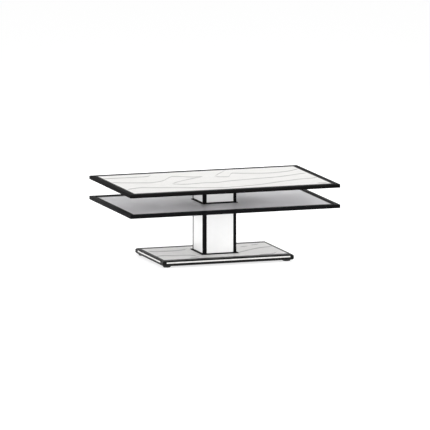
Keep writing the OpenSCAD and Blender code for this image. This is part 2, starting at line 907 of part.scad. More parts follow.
module release_shaft() {
    color([0.75, 0.76, 0.78])
        difference() {
            on_shaft(shaft_back, paddle_front, shaft_radius);
            across_shaft(roll_pin_radius + fit, 4 * hub_radius);
        }
}

module release_pins() {
    color([0.6, 0.61, 0.63]) across_shaft(roll_pin_radius, 2 * (hub_radius - rest_gap));
}

module release_finger() {
    color([0.45, 0.46, 0.48])
        difference() {
            union() {
                on_shaft(finger_hub_width / 2, -finger_hub_width / 2, hub_radius);
                translate([0, -finger_width / 2, shaft_z - finger_thickness / 2])
                    cube([finger_length, finger_width, finger_thickness]);
                translate([0, finger_width / 2, shaft_z]) rotate([90, 0, 0])
                    cylinder(h = finger_width, r = finger_tip_radius);
            }
            on_shaft(finger_hub_width, -finger_hub_width, shaft_radius + fit);
            across_shaft(roll_pin_radius + fit, 4 * hub_radius);
        }
}

module release_paddle() {
    flat = paddle_length - paddle_bead;
    color([0.2, 0.2, 0.21])
        difference() {
            union() {
                on_shaft(paddle_back, paddle_front, hub_radius);
                translate([finger_length, paddle_front, board_z]) {
                    cube([flat, paddle_width, paddle_thickness]);
                    translate([flat, paddle_width, paddle_bead]) rotate([90, 0, 0])
                        cylinder(h = paddle_width, r = paddle_bead);
                }
            }
            on_shaft(paddle_back + cut, paddle_front - cut, shaft_radius + fit);
            across_shaft(roll_pin_radius + fit, 4 * hub_radius);
        }
}

base_plate();
ballast_plate();
ballast_screws();
glide_feet();
glide_pads();
glide_screws();
base_gasket();
foot_plate();
column_bolts();
column_sleeve();
column_panels();
corner_profiles();
foot_cover();
rest_bumpers();
guide_collar();
collar_screws();
shelf_carrier();
shelf_pads();
glass_shelf();
shelf_trim();
shelf_gasket();
spring_rod();
spring_piston();
rod_nut();
lift_tube();
guide_shoes();
shoe_screws();
spring_cylinder();
spring_gland();
spring_socket();
top_carrier();
carrier_screws();
table_top();
edge_lipping();
cross_battens();
batten_screws();
shaft_bearings();
bearing_screws();
release_shaft();
release_finger();
release_paddle();
release_pins();
valve_pin();
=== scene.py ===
"""Dresses the lift top coffee table: its pieces, finishes, studio and camera, in metres.

Each sub-assembly is a class that takes its places from the frame, builds its surfaces as
whole numpy arrays and lays a finish on them. The finishes share a few effects, such as fibre,
mottle and worn edges, that are node groups built once.
"""

from __future__ import annotations

import logging
import math
from dataclasses import dataclass, field, replace
from enum import Enum
from typing import Any, ClassVar, NamedTuple, Sequence

import bmesh
import bpy
import numpy as np
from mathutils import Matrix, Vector

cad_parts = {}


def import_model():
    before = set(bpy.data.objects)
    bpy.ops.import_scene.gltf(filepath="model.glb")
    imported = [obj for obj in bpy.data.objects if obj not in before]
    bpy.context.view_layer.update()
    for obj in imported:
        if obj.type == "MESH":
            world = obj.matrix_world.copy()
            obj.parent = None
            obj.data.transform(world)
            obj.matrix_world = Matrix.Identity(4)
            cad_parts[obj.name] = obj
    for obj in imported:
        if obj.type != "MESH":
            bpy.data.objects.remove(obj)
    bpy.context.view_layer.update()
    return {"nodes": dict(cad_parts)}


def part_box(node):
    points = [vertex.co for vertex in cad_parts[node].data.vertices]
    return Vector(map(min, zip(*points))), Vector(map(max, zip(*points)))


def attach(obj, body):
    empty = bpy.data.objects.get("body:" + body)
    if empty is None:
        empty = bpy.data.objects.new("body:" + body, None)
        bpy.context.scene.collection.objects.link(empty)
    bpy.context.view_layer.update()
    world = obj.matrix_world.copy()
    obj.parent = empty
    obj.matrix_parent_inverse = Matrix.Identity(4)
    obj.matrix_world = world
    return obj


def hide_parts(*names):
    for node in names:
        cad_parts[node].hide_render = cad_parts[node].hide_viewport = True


LOG = logging.getLogger("coffee_table")
SMALLEST_RADIUS = 5e-5

Triple = tuple[float, float, float]
NOWHERE: Triple = (0.0, 0.0, 0.0)
Rows = Sequence[Sequence[float]]
Socket = bpy.types.NodeSocket


# ---- Surfaces ----


class Ease(Enum):
    """How far the maker takes an edge back, in metres."""

    CRISP = 0.0
    BROKEN = 0.0002
    EASED = 0.0004


class Axis(Enum):
    """The direction that a turned part stands in, as the rows of a rotation of (x, y, z)."""

    UP = ((1, 0, 0), (0, 1, 0), (0, 0, 1))
    BACK = ((1, 0, 0), (0, 0, 1), (0, -1, 0))


class Box(NamedTuple):
    """Lowest and highest corner of something, in metres."""

    low: np.ndarray
    high: np.ndarray

    @property
    def middle(self) -> np.ndarray:
        """The point half way between the corners."""
        return (self.low + self.high) / 2

    @property
    def half(self) -> np.ndarray:
        """Half of the length, depth and height."""
        return (self.high - self.low) / 2

    @property
    def height(self) -> float:
        """From the underside to the upper face."""
        return 2 * self.half[2]

    @property
    def foot(self) -> np.ndarray:
        """The middle of the underside."""
        return np.array([*self.middle[:2], self.low[2]])


class Skin(NamedTuple):
    """The vertices of a surface and its faces, one index array for each number of corners."""

    vertices: np.ndarray
    faces: list[np.ndarray]


def outline(half_x: float, half_y: float, radius: float, steps: int = 8) -> np.ndarray:
    """The outline of a rectangle with round corners, walked counter-clockwise.

    Each corner is a quarter circle about a centre that lies one radius inside both sides.

    Args:
        half_x: Half of the length.
        half_y: Half of the depth.
        radius: Corner radius.
        steps: Number of chords in each corner.

    Returns:
        An array of 4 * (steps + 1) points of x and y.
    """
    radius = float(np.clip(radius, SMALLEST_RADIUS, min(half_x, half_y)))
    quarter = np.linspace(0.0, math.pi / 2, steps + 1)
    angle = (quarter[None, :] + (np.arange(4) * math.pi / 2)[:, None]).ravel()
    centre_x = np.repeat([1, -1, -1, 1], steps + 1) * (half_x - radius)
    centre_y = np.repeat([1, 1, -1, -1], steps + 1) * (half_y - radius)
    return np.stack([centre_x + radius * np.cos(angle), centre_y + radius * np.sin(angle)], axis=1)


def level_ring(
    box: Box, half: np.ndarray, corner: float, height: float, steps: int = 8
) -> np.ndarray:
    """An outline about a box's middle, laid flat at a height above the box's floor.

    Args:
        box: The box.
        half: Half of the outline's length and depth.
        corner: Its corner radius.
        height: How far it lies above the floor of the box.
        steps: Chords in each corner.

    Returns:
        An array of points of x, y and z.
    """
    flat = outline(float(half[0]), float(half[1]), corner, steps) + box.middle[:2]
    return np.column_stack([flat, np.full(len(flat), box.low[2] + height)])


def stitch(rings: np.ndarray, closed: bool) -> Skin:
    """Joins rings of points with four-sided faces.

    Face (i, j) has the corners (i, j), (i, j + 1), (i + 1, j + 1) and (i + 1, j), so a ring
    that runs counter-clockwise and rows that climb on its outside give faces that point out.

    Args:
        rings: Points, with the shape rows x points x 3.
        closed: Whether the last row joins the first, or both ends get a flat lid.

    Returns:
        The closed surface.
    """
    rows, count = rings.shape[:2]
    index = np.arange(rows * count).reshape(rows, count)
    lower = index if closed else index[:-1]
    upper = np.roll(index, -1, axis=0) if closed else index[1:]
    corners = [lower, np.roll(lower, -1, axis=1), np.roll(upper, -1, axis=1), upper]
    faces = [np.stack(corners, axis=-1).reshape(-1, 4)]
    if not closed:
        faces.append(np.stack([index[0][::-1], index[-1]]))
    return Skin(rings.reshape(-1, 3), faces)


def carried(
    box: Box, corner: float, profile: np.ndarray, steps: int = 8, closed: bool = True
) -> Skin:
    """A profile carried round a rectangle with round corners.

    Every row of the profile is an inset from the outline and a height above the box's floor.
    The ring of that row is the rectangle's outline, drawn in by the inset, at that height.

    Args:
        box: Space that the shape fills.
        corner: Radius of its outer corners.
        profile: Rows of inset and height that climb on the outside.
        steps: Chords in each corner.
        closed: Whether the profile is a loop, as for a frame, or both ends get a flat lid.

    Returns:
        The closed surface.
    """
    rings = [
        level_ring(box, box.half[:2] - inset, corner - inset, height, steps)
        for inset, height in profile
    ]
    return stitch(np.array(rings), closed)


def eased_side(height: float, ease: float, steps: int = 4) -> np.ndarray:
    """A side that climbs between two rounded edges.

    Through a quarter turn the lower edge lies in by ease * (1 - sine) and up by
    ease * (1 - cosine). The upper edge is its mirror image.

    Args:
        height: From the foot of the side to its head.
        ease: Radius of both edges.
        steps: Chords in each quarter turn.

    Returns:
        Rows of inset and height, from the foot up.
    """
    turn = np.linspace(0.0, math.pi / 2, steps + 1)
    far, near = ease * (1 - np.sin(turn)), ease * (1 - np.cos(turn))
    return np.column_stack([[*far, *near], [*near, *(height - far)]])


def rounded(core: float, reach: float, height: float, ease: float) -> list[Sequence[float]]:
    """Rows of a turned part with flat ends and rounded edges.

    Args:
        core: Radius of the innermost ring on both ends.
        reach: Outer radius.
        height: From end to end.
        ease: Radius of the rounding at both edges.

    Returns:
        Rows of radius and height, from the lower end to the upper one.
    """
    side = eased_side(height, ease)
    return [(core, 0.0), *zip(reach - side[:, 0], side[:, 1]), (core, height)]


def turned(
    places: np.ndarray, profile: Rows, steps: int = 48, axis: Axis = Axis.UP, closed: bool = False
) -> Skin:
    """A profile turned about an axis, once at each place.

    A row gives a radius, a height and, where it has a third number, how far the ring goes
    from a circle (0) to a hexagon (1) of that radius across its corners. The hexagon's radius at
    an angle is its half width over the cosine of the angle from the middle of the nearest flat.

    Args:
        places: Foot of each axis, one row of x, y and z each.
        profile: Rows of the profile, outwards and then up.
        steps: Points in each ring, in sixes where there is a hexagon.
        axis: The direction that the part stands in.
        closed: Whether the profile is a closed loop, as for a part with a bore.

    Returns:
        All turned parts as one surface.
    """
    rows = np.array([tuple(row) + (0.0,) * (3 - len(row)) for row in profile])
    angle = np.linspace(0.0, 2 * math.pi, steps, endpoint=False)
    flat = np.cos(math.pi / 6) / np.cos(np.mod(angle, math.pi / 3) - math.pi / 6)
    radius = rows[:, 0:1] * (1 + rows[:, 2:3] * (flat[None, :] - 1))
    height = np.broadcast_to(rows[:, 1:2], radius.shape)
    local = np.stack([radius * np.cos(angle), radius * np.sin(angle), height], axis=-1)
    one = stitch(local @ np.array(axis.value, float).T, closed)
    return gathered([Skin(one.vertices + place, one.faces) for place in np.atleast_2d(places)])


def gathered(skins: Sequence[Skin]) -> Skin:
    """Puts several surfaces into one, with the indices of each moved past those before it.

    Args:
        skins: The surfaces.

    Returns:
        One surface.
    """
    starts = np.cumsum([0] + [len(skin.vertices) for skin in skins[:-1]])
    faces = [corners + start for skin, start in zip(skins, starts) for corners in skin.faces]
    return Skin(np.concatenate([skin.vertices for skin in skins]), faces)


def hang(name: str, data: Any) -> bpy.types.Object:
    """Puts a mesh, a light or a camera into the scene.

    Args:
        name: The new object's name.
        data: What it shows.

    Returns:
        The object.
    """
    thing = bpy.data.objects.new(name, data)
    bpy.context.scene.collection.objects.link(thing)
    return thing


# ---- Node work ----


@dataclass
class Wiring:
    """A node tree that is being wired."""

    tree: bpy.types.NodeTree

    def node(
        self, kind: str, inputs: dict[Any, Any] | None = None, **settings: Any
    ) -> bpy.types.Node:
        """Adds a node.

        Args:
            kind: Name of the node's type.
            inputs: Value or socket for each input, by name or number.
            **settings: The node's own settings.

        Returns:
            The node.
        """
        node = self.tree.nodes.new(kind)
        for name, value in settings.items():
            setattr(node, name, value)
        for key, value in (inputs or {}).items():
            self.put(node.inputs[key], value)
        return node

    def put(self, socket: Socket, value: Any) -> None:
        """Joins a socket to another one, or sets its value.

        Args:
            socket: The socket.
            value: The other socket, or the value.
        """
        if isinstance(value, bpy.types.NodeSocket):
            self.tree.links.new(value, socket)
        else:
            socket.default_value = value

    def math(self, operation: str, first: Any, second: Any = 0.0, third: Any = 0.0) -> Socket:
        """Works out a sum, product or other function of up to three values."""
        inputs = {0: first, 1: second, 2: third}
        return self.node("ShaderNodeMath", inputs, operation=operation).outputs[0]

    def times(self, first: Any, second: Any) -> Socket:
        """Multiplies two values."""
        return self.math("MULTIPLY", first, second)

    def mix(self, share: Any, first: Any, second: Any) -> Socket:
        """Goes from the first colour to the second as the share goes from 0 to 1."""
        inputs = {0: share, 6: first, 7: second}
        return self.node("ShaderNodeMix", inputs, data_type="RGBA").outputs[2]

    def noise(self, vector: Socket, scale: Any, detail: float = 3.0) -> Socket:
        """Soft noise between 0 and 1 with a scale in lumps per metre."""
        inputs = {"Vector": vector, "Scale": scale, "Detail": detail}
        return self.node("ShaderNodeTexNoise", inputs).outputs[0]

    def drawn_noise(self, vector: Socket, factors: Any, detail: float) -> Socket:
        """Noise with its own number of lumps per metre in each direction."""
        return self.noise(self.vector("MULTIPLY", vector, factors), 1.0, detail)

    def vector(self, operation: str, first: Any, second: Any = NOWHERE) -> Socket:
        """Works out a sum, product or other function of two vectors."""
        inputs = {0: first, 1: second}
        return self.node("ShaderNodeVectorMath", inputs, operation=operation).outputs[0]

    def parts(self, vector: Any) -> Any:
        """The x, y and z of a vector."""
        return self.node("ShaderNodeSeparateXYZ", {0: vector}).outputs

    def joined(self, x: Any = 0.0, y: Any = 0.0, z: Any = 0.0) -> Socket:
        """The vector of an x, y and z."""
        return self.node("ShaderNodeCombineXYZ", {0: x, 1: y, 2: z}).outputs[0]

    def ramp(self, value: Any, low: Any, high: Any, start: Any = 0.0, end: Any = 1.0) -> Socket:
        """Goes smoothly from the start to the end as the value goes from low to high."""
        inputs = {"Value": value, "From Min": low, "From Max": high, "To Min": start, "To Max": end}
        return self.node("ShaderNodeMapRange", inputs, interpolation_type="SMOOTHSTEP").outputs[0]

    def place(self) -> Socket:
        """The point on the piece, in the frame's metres."""
        return self.node("ShaderNodeTexCoord").outputs["Object"]

    def facing(self) -> Socket:
        """The surface's normal."""
        return self.node("ShaderNodeNewGeometry").outputs["Normal"]


class Effect:
    """A node group that several finishes share, built when it is first used."""

    built: ClassVar[dict[str, bpy.types.NodeTree]] = {}
    inputs: ClassVar[tuple[tuple[str, Any], ...]] = ()
    outputs: ClassVar[tuple[str, ...]] = ()

    @classmethod
    def tree(cls) -> bpy.types.NodeTree:
        """Builds the group with its named sockets, unless it is there already.

        Returns:
            The group.
        """
        if cls.__name__ not in Effect.built:
            tree = bpy.data.node_groups.new(cls.__name__, "ShaderNodeTree")
            for name, value in cls.inputs:
                kind = "Vector" if isinstance(value, tuple) else "Float"
                socket = tree.interface.new_socket(
                    name=name, in_out="INPUT", socket_type=f"NodeSocket{kind}"
                )
                socket.default_value = value
            for name in cls.outputs:
                kind = "Vector" if name == "Vector" else "Float"
                tree.interface.new_socket(
                    name=name, in_out="OUTPUT", socket_type=f"NodeSocket{kind}"
                )
            wiring = Wiring(tree)
            source, result = wiring.node("NodeGroupInput"), wiring.node("NodeGroupOutput")
            for name, socket in cls.wire(wiring, source.outputs).items():
                wiring.put(result.inputs[name], socket)
            Effect.built[cls.__name__] = tree
        return Effect.built[cls.__name__]

    @classmethod
    def wire(cls, wiring: Wiring, given: Any) -> dict[str, Socket]:
        """Wires the inside of the group.

        Args:
            wiring: The group's tree.
            given: The group's inputs.

        Returns:
            The socket for each output.
        """
        raise NotImplementedError

    @classmethod
    def use(cls, wiring: Wiring, **inputs: Any) -> Any:
        """Places the group in a tree.

        Args:
            wiring: The tree that takes it.
            **inputs: Value or socket for each input.

        Returns:
            The group node's outputs.
        """
        return wiring.node("ShaderNodeGroup", inputs, node_tree=cls.tree()).outputs


class Fibre(Effect):
    """Wood fibre along X: broad bands of tone, short open pores and the height of both."""

    inputs = (("Vector", NOWHERE), ("Pores", 0.5))
    outputs = ("Tone", "Pore", "Height")
    sway: ClassVar[Triple] = (2.0, 5.0, 5.0)
    sway_depth: ClassVar[float] = 0.02
    bands: ClassVar[Triple] = (2.6, 78.0, 78.0)
    pores: ClassVar[Triple] = (22.0, 1100.0, 1100.0)

    @classmethod
    def wire(cls, wiring: Wiring, given: Any) -> dict[str, Socket]:
        """Draws noise out along the fibre, 30 times for the bands and 50 times for the pores.

        Args:
            wiring: The group's tree.
            given: The point and how many pores are open.

        Returns:
            Tone and pore, both between 0 and 1, and the height that they leave.
        """
        sway = wiring.drawn_noise(given["Vector"], cls.sway, 1.0)
        lean = wiring.joined(y=wiring.times(sway, cls.sway_depth))
        bent = wiring.vector("ADD", given["Vector"], lean)
        tone = wiring.ramp(wiring.drawn_noise(bent, cls.bands, 5.0), 0.3, 0.7)
        pore = wiring.ramp(wiring.drawn_noise(bent, cls.pores, 2.0), 0.56, 0.66)
        pore = wiring.times(pore, given["Pores"])
        height = wiring.math("SUBTRACT", wiring.times(tone, 0.3), pore)
        return {"Tone": tone, "Pore": pore, "Height": height}


class FigureLine(Effect):
    """One line of the growth figure: a band about a level that tapers at its start and its end.

    Its pull says how much the growth rings round it follow it, and its lean is that pull times
    the distance from the level, so that the sum of the leans over the sum of the pulls is a
    height whose steps are the rings.
    """

    inputs = (
        ("Along", 0.0), ("Across", 0.0), ("Level", 0.0), ("Breadth", 0.01),
        ("Start", 0.0), ("End", 1.0),
    )
    outputs = ("Mask", "Pull", "Lean")
    tip: ClassVar[float] = 0.016
    tip_breadth: ClassVar[float] = 0.2
    core: ClassVar[float] = 0.25
    least_square: ClassVar[float] = 0.0006
    least_pull: ClassVar[float] = 0.03

    @classmethod
    def wire(cls, wiring: Wiring, given: Any) -> dict[str, Socket]:
        """Fades from 1 on the level to 0 at the breadth, and pulls by one over the square.

        The square is that of the distance from the level. A tip is the length over which the
        band opens and closes, and the core is the share of its breadth that is full.

        Args:
            wiring: The group's tree.
            given: The point along and across, and the line's level, breadth and ends.

        Returns:
            The band between 0 and 1, its pull and its lean.
        """
        away = wiring.math("SUBTRACT", given["Across"], given["Level"])
        opened = wiring.math("ADD", given["Start"], cls.tip)
        closing = wiring.math("SUBTRACT", given["End"], cls.tip)
        begun = wiring.ramp(given["Along"], given["Start"], opened)
        ended = wiring.ramp(given["Along"], closing, given["End"], 1.0, 0.0)
        taper = wiring.times(begun, ended)
        opening = wiring.ramp(taper, 0.0, 1.0, cls.tip_breadth, 1.0)
        breadth = wiring.times(given["Breadth"], opening)
        share = wiring.math("DIVIDE", wiring.math("ABSOLUTE", away), breadth)
        band = wiring.ramp(share, cls.core, 1.0, 1.0, 0.0)
        mask = wiring.times(band, wiring.ramp(taper, 0.0, 0.12))
        square = wiring.math("MULTIPLY_ADD", away, away, cls.least_square)
        pull = wiring.math("DIVIDE", wiring.math("ADD", taper, cls.least_pull), square)
        return {"Mask": mask, "Pull": pull, "Lean": wiring.times(pull, away)}


class Mitre(Effect):
    """Turns the fibre along Y in the short sides of a mitred frame."""

    inputs = (("Vector", NOWHERE), ("Difference", 0.0))
    outputs = ("Vector", "Joint")
    joint: ClassVar[tuple[float, float]] = (0.0001, 0.0004)

    @classmethod
    def wire(cls, wiring: Wiring, given: Any) -> dict[str, Socket]:
        """Swaps X and Y where |x| is larger than |y| plus what the frame is longer than deep.

        Args:
            wiring: The group's tree.
            given: The point, and half of what the frame is longer than deep.

        Returns:
            The point along and across the fibre, and the fine line of the joint.
        """
        x, y, z = wiring.parts(given["Vector"])
        edge = wiring.math("ADD", wiring.math("ABSOLUTE", y), given["Difference"])
        past = wiring.math("SUBTRACT", wiring.math("ABSOLUTE", x), edge)
        short = wiring.math("GREATER_THAN", past, 0.0)
        inputs = {0: short, 4: given["Vector"], 5: wiring.joined(y, x, z)}
        vector = wiring.node("ShaderNodeMix", inputs, data_type="VECTOR").outputs[1]
        joint = wiring.ramp(wiring.math("ABSOLUTE", past), *cls.joint, 1.0, 0.0)
        return {"Vector": vector, "Joint": joint}


class Border(Effect):
    """A stained line along every edge of a board, as wide on each face as its width says."""

    inputs = (
        ("Vector", NOWHERE), ("Middle", NOWHERE),
        ("Half", (0.5, 0.5, 0.5)), ("Width", (0.01, 0.01, 0.01)),
    )
    outputs = ("Mask",)
    bleed_run: ClassVar[Triple] = (60.0, 60.0, 400.0)
    bleed: ClassVar[float] = 0.05

    @classmethod
    def wire(cls, wiring: Wiring, given: Any) -> dict[str, Socket]:
        """Divides the distance from each pair of sides by the width and tests the second smallest.

        A point on a face has a distance of 0 from that face, so the second smallest of the
        three is its distance from the nearest edge.

        Args:
            wiring: The group's tree.
            given: The point, the board's middle and half sizes, and the line's widths.

        Returns:
            1 on the line and 0 off it, with a faint bleed into the grain.
        """
        from_middle = wiring.vector("SUBTRACT", given["Vector"], given["Middle"])
        inwards = wiring.vector("SUBTRACT", given["Half"], wiring.vector("ABSOLUTE", from_middle))
        x, y, z = wiring.parts(wiring.vector("DIVIDE", inwards, given["Width"]))
        least, most = wiring.math("MINIMUM", x, y), wiring.math("MAXIMUM", x, y)
        second = wiring.math("MAXIMUM", least, wiring.math("MINIMUM", most, z))
        noise = wiring.drawn_noise(given["Vector"], cls.bleed_run, 3.0)
        second = wiring.math("MULTIPLY_ADD", noise, cls.bleed, second)
        return {"Mask": wiring.ramp(second, 0.98, 1.04, 1.0, 0.0)}


class Mottle(Effect):
    """Uneven tone: a soft cloud and a finer one, between 0 and 1."""

    inputs = (("Vector", NOWHERE), ("Scale", 10.0))
    outputs = ("Value",)
    finer: ClassVar[float] = 7.0
    broad_share: ClassVar[float] = 0.67

    @classmethod
    def wire(cls, wiring: Wiring, given: Any) -> dict[str, Socket]:
        """Adds two parts of noise at the scale and one part at seven times the scale.

        Args:
            wiring: The group's tree.
            given: The point, and the number of patches in a metre.

        Returns:
            The tone.
        """
        broad = wiring.noise(given["Vector"], given["Scale"], 3.0)
        fine = wiring.noise(given["Vector"], wiring.times(given["Scale"], cls.finer), 2.0)
        rest = wiring.times(fine, 1.0 - cls.broad_share)
        total = wiring.math("MULTIPLY_ADD", broad, cls.broad_share, rest)
        return {"Value": wiring.ramp(total, 0.32, 0.68)}


class Streaks(Effect):
    """Fine marks of a belt or a brush, long in one direction and short in the others."""

    inputs = (("Vector", NOWHERE), ("Run", (4.0, 900.0, 900.0)))
    outputs = ("Value",)

    @classmethod
    def wire(cls, wiring: Wiring, given: Any) -> dict[str, Socket]:
        """Reads noise from the point times the run."""
        return {"Value": wiring.drawn_noise(given["Vector"], given["Run"], 4.0)}


class Wear(Effect):
    """Rubbed edges: where the surface turns within a radius, broken up by noise."""

    inputs = (("Vector", NOWHERE), ("Radius", 0.001), ("Amount", 0.5))
    outputs = ("Mask",)
    patches: ClassVar[float] = 60.0

    @classmethod
    def wire(cls, wiring: Wiring, given: Any) -> dict[str, Socket]:
        """Compares the face's normal with the one that an edge rounded by the radius would have.

        Args:
            wiring: The group's tree.
            given: The point, the radius, and how much is rubbed at most.

        Returns:
            How much is rubbed.
        """
        soft = wiring.node("ShaderNodeBevel", {"Radius": given["Radius"]}, samples=6).outputs[0]
        inputs = {0: soft, 1: wiring.facing()}
        same = wiring.node("ShaderNodeVectorMath", inputs, operation="DOT_PRODUCT").outputs["Value"]
        edge = wiring.ramp(same, 0.80, 0.985, 1.0, 0.0)
        patchy = wiring.ramp(wiring.noise(given["Vector"], cls.patches, 4.0), 0.42, 0.66)
        return {"Mask": wiring.times(wiring.times(edge, patchy), given["Amount"])}


class Dust(Effect):
    """A thin uneven film on what faces up."""

    inputs = (("Vector", NOWHERE), ("Amount", 0.1))
    outputs = ("Mask",)
    patches: ClassVar[float] = 9.0

    @classmethod
    def wire(cls, wiring: Wiring, given: Any) -> dict[str, Socket]:
        """Multiplies how far the normal points up by a cloud of noise and the amount.

        Args:
            wiring: The group's tree.
            given: The point, and how much dust there is at most.

        Returns:
            How much dust there is.
        """
        up = wiring.parts(wiring.facing())[2]
        cloud = wiring.ramp(wiring.noise(given["Vector"], cls.patches, 6.0), 0.35, 0.7)
        film = wiring.times(wiring.ramp(up, 0.3, 0.9), cloud)
        return {"Mask": wiring.times(film, given["Amount"])}


# ---- Finishes ----


WHITEWASH: Triple = (0.86, 0.852, 0.835)
BLACK_STAIN: Triple = (0.0052, 0.005, 0.005)
DUST_GREY: Triple = (0.42, 0.41, 0.39)


class Coat(NamedTuple):
    """What a finish lays on its shader: changing colour and roughness, and bumps."""

    colour: Any
    roughness: Any
    height: Any


@dataclass(frozen=True)
class Finish:
    """A finish: the record's slot that it stands for and the shader's own values.

    The relief is the depth in metres of the fine bumps that the finish gives the surface. Where
    the border has a width, a black line runs along the edges of the board or pane. The middle
    and half are those of the piece that wears the finish.
    """

    name: str
    slot: str
    colour: Triple
    roughness: float
    metallic: float = 0.0
    specular: float = 0.5
    clear: float = 0.0
    clear_roughness: float = 0.08
    sheen: float = 0.0
    transmission: float = 0.0
    ior: float = 1.5
    relief: float = 0.00005
    border: Triple = NOWHERE
    middle: Triple = NOWHERE
    half: Triple = (0.5, 0.5, 0.5)
    built: ClassVar[dict[str, bpy.types.Material]] = {}

    def coat(self, wiring: Wiring) -> Coat:
        """Wires what changes over the surface.

        Args:
            wiring: The material's tree.

        Returns:
            Sockets for colour, roughness and height.
        """
        raise NotImplementedError

    def material(self) -> bpy.types.Material:
        """Makes the material, unless it is there already.

        Returns:
            The material.
        """
        if self.name in Finish.built:
            return Finish.built[self.name]
        material = bpy.data.materials.new(f"finish_{self.name}")
        Finish.built[self.name] = material
        material.use_nodes = True
        wiring = Wiring(material.node_tree)
        shader = material.node_tree.nodes["Principled BSDF"]
        own = {
            "Metallic": self.metallic,
            "IOR": self.ior,
            "Specular IOR Level": self.specular,
            "Coat Weight": self.clear,
            "Coat Roughness": self.clear_roughness,
            "Sheen Weight": self.sheen,
            "Transmission Weight": self.transmission,
        }
        for name, value in own.items():
            shader.inputs[name].default_value = value
        coat = self.coat(wiring)
        bump = wiring.node("ShaderNodeBump", {"Height": coat.height, "Distance": self.relief})
        wiring.put(shader.inputs["Base Color"], self.edged(wiring, coat.colour))
        wiring.put(shader.inputs["Roughness"], coat.roughness)
        wiring.put(shader.inputs["Normal"], bump.outputs[0])
        material.diffuse_color = self.shade(1.0)
        return material

    def edged(self, wiring: Wiring, colour: Any) -> Any:
        """Lays the black border over a colour, if the finish has one.

        Args:
            wiring: The material's tree.
            colour: The colour.

        Returns:
            The colour with its border.
        """
        if not any(self.border):
            return colour
        inputs = {"Middle": self.middle, "Half": self.half, "Width": self.border}
        line = Border.use(wiring, Vector=wiring.place(), **inputs)["Mask"]
        return wiring.mix(line, colour, (*BLACK_STAIN, 1.0))

    def shade(self, factor: float) -> tuple[float, float, float, float]:
        """The finish's colour times a factor, at most 1."""
        return (*(min(1.0, part * factor) for part in self.colour), 1.0)


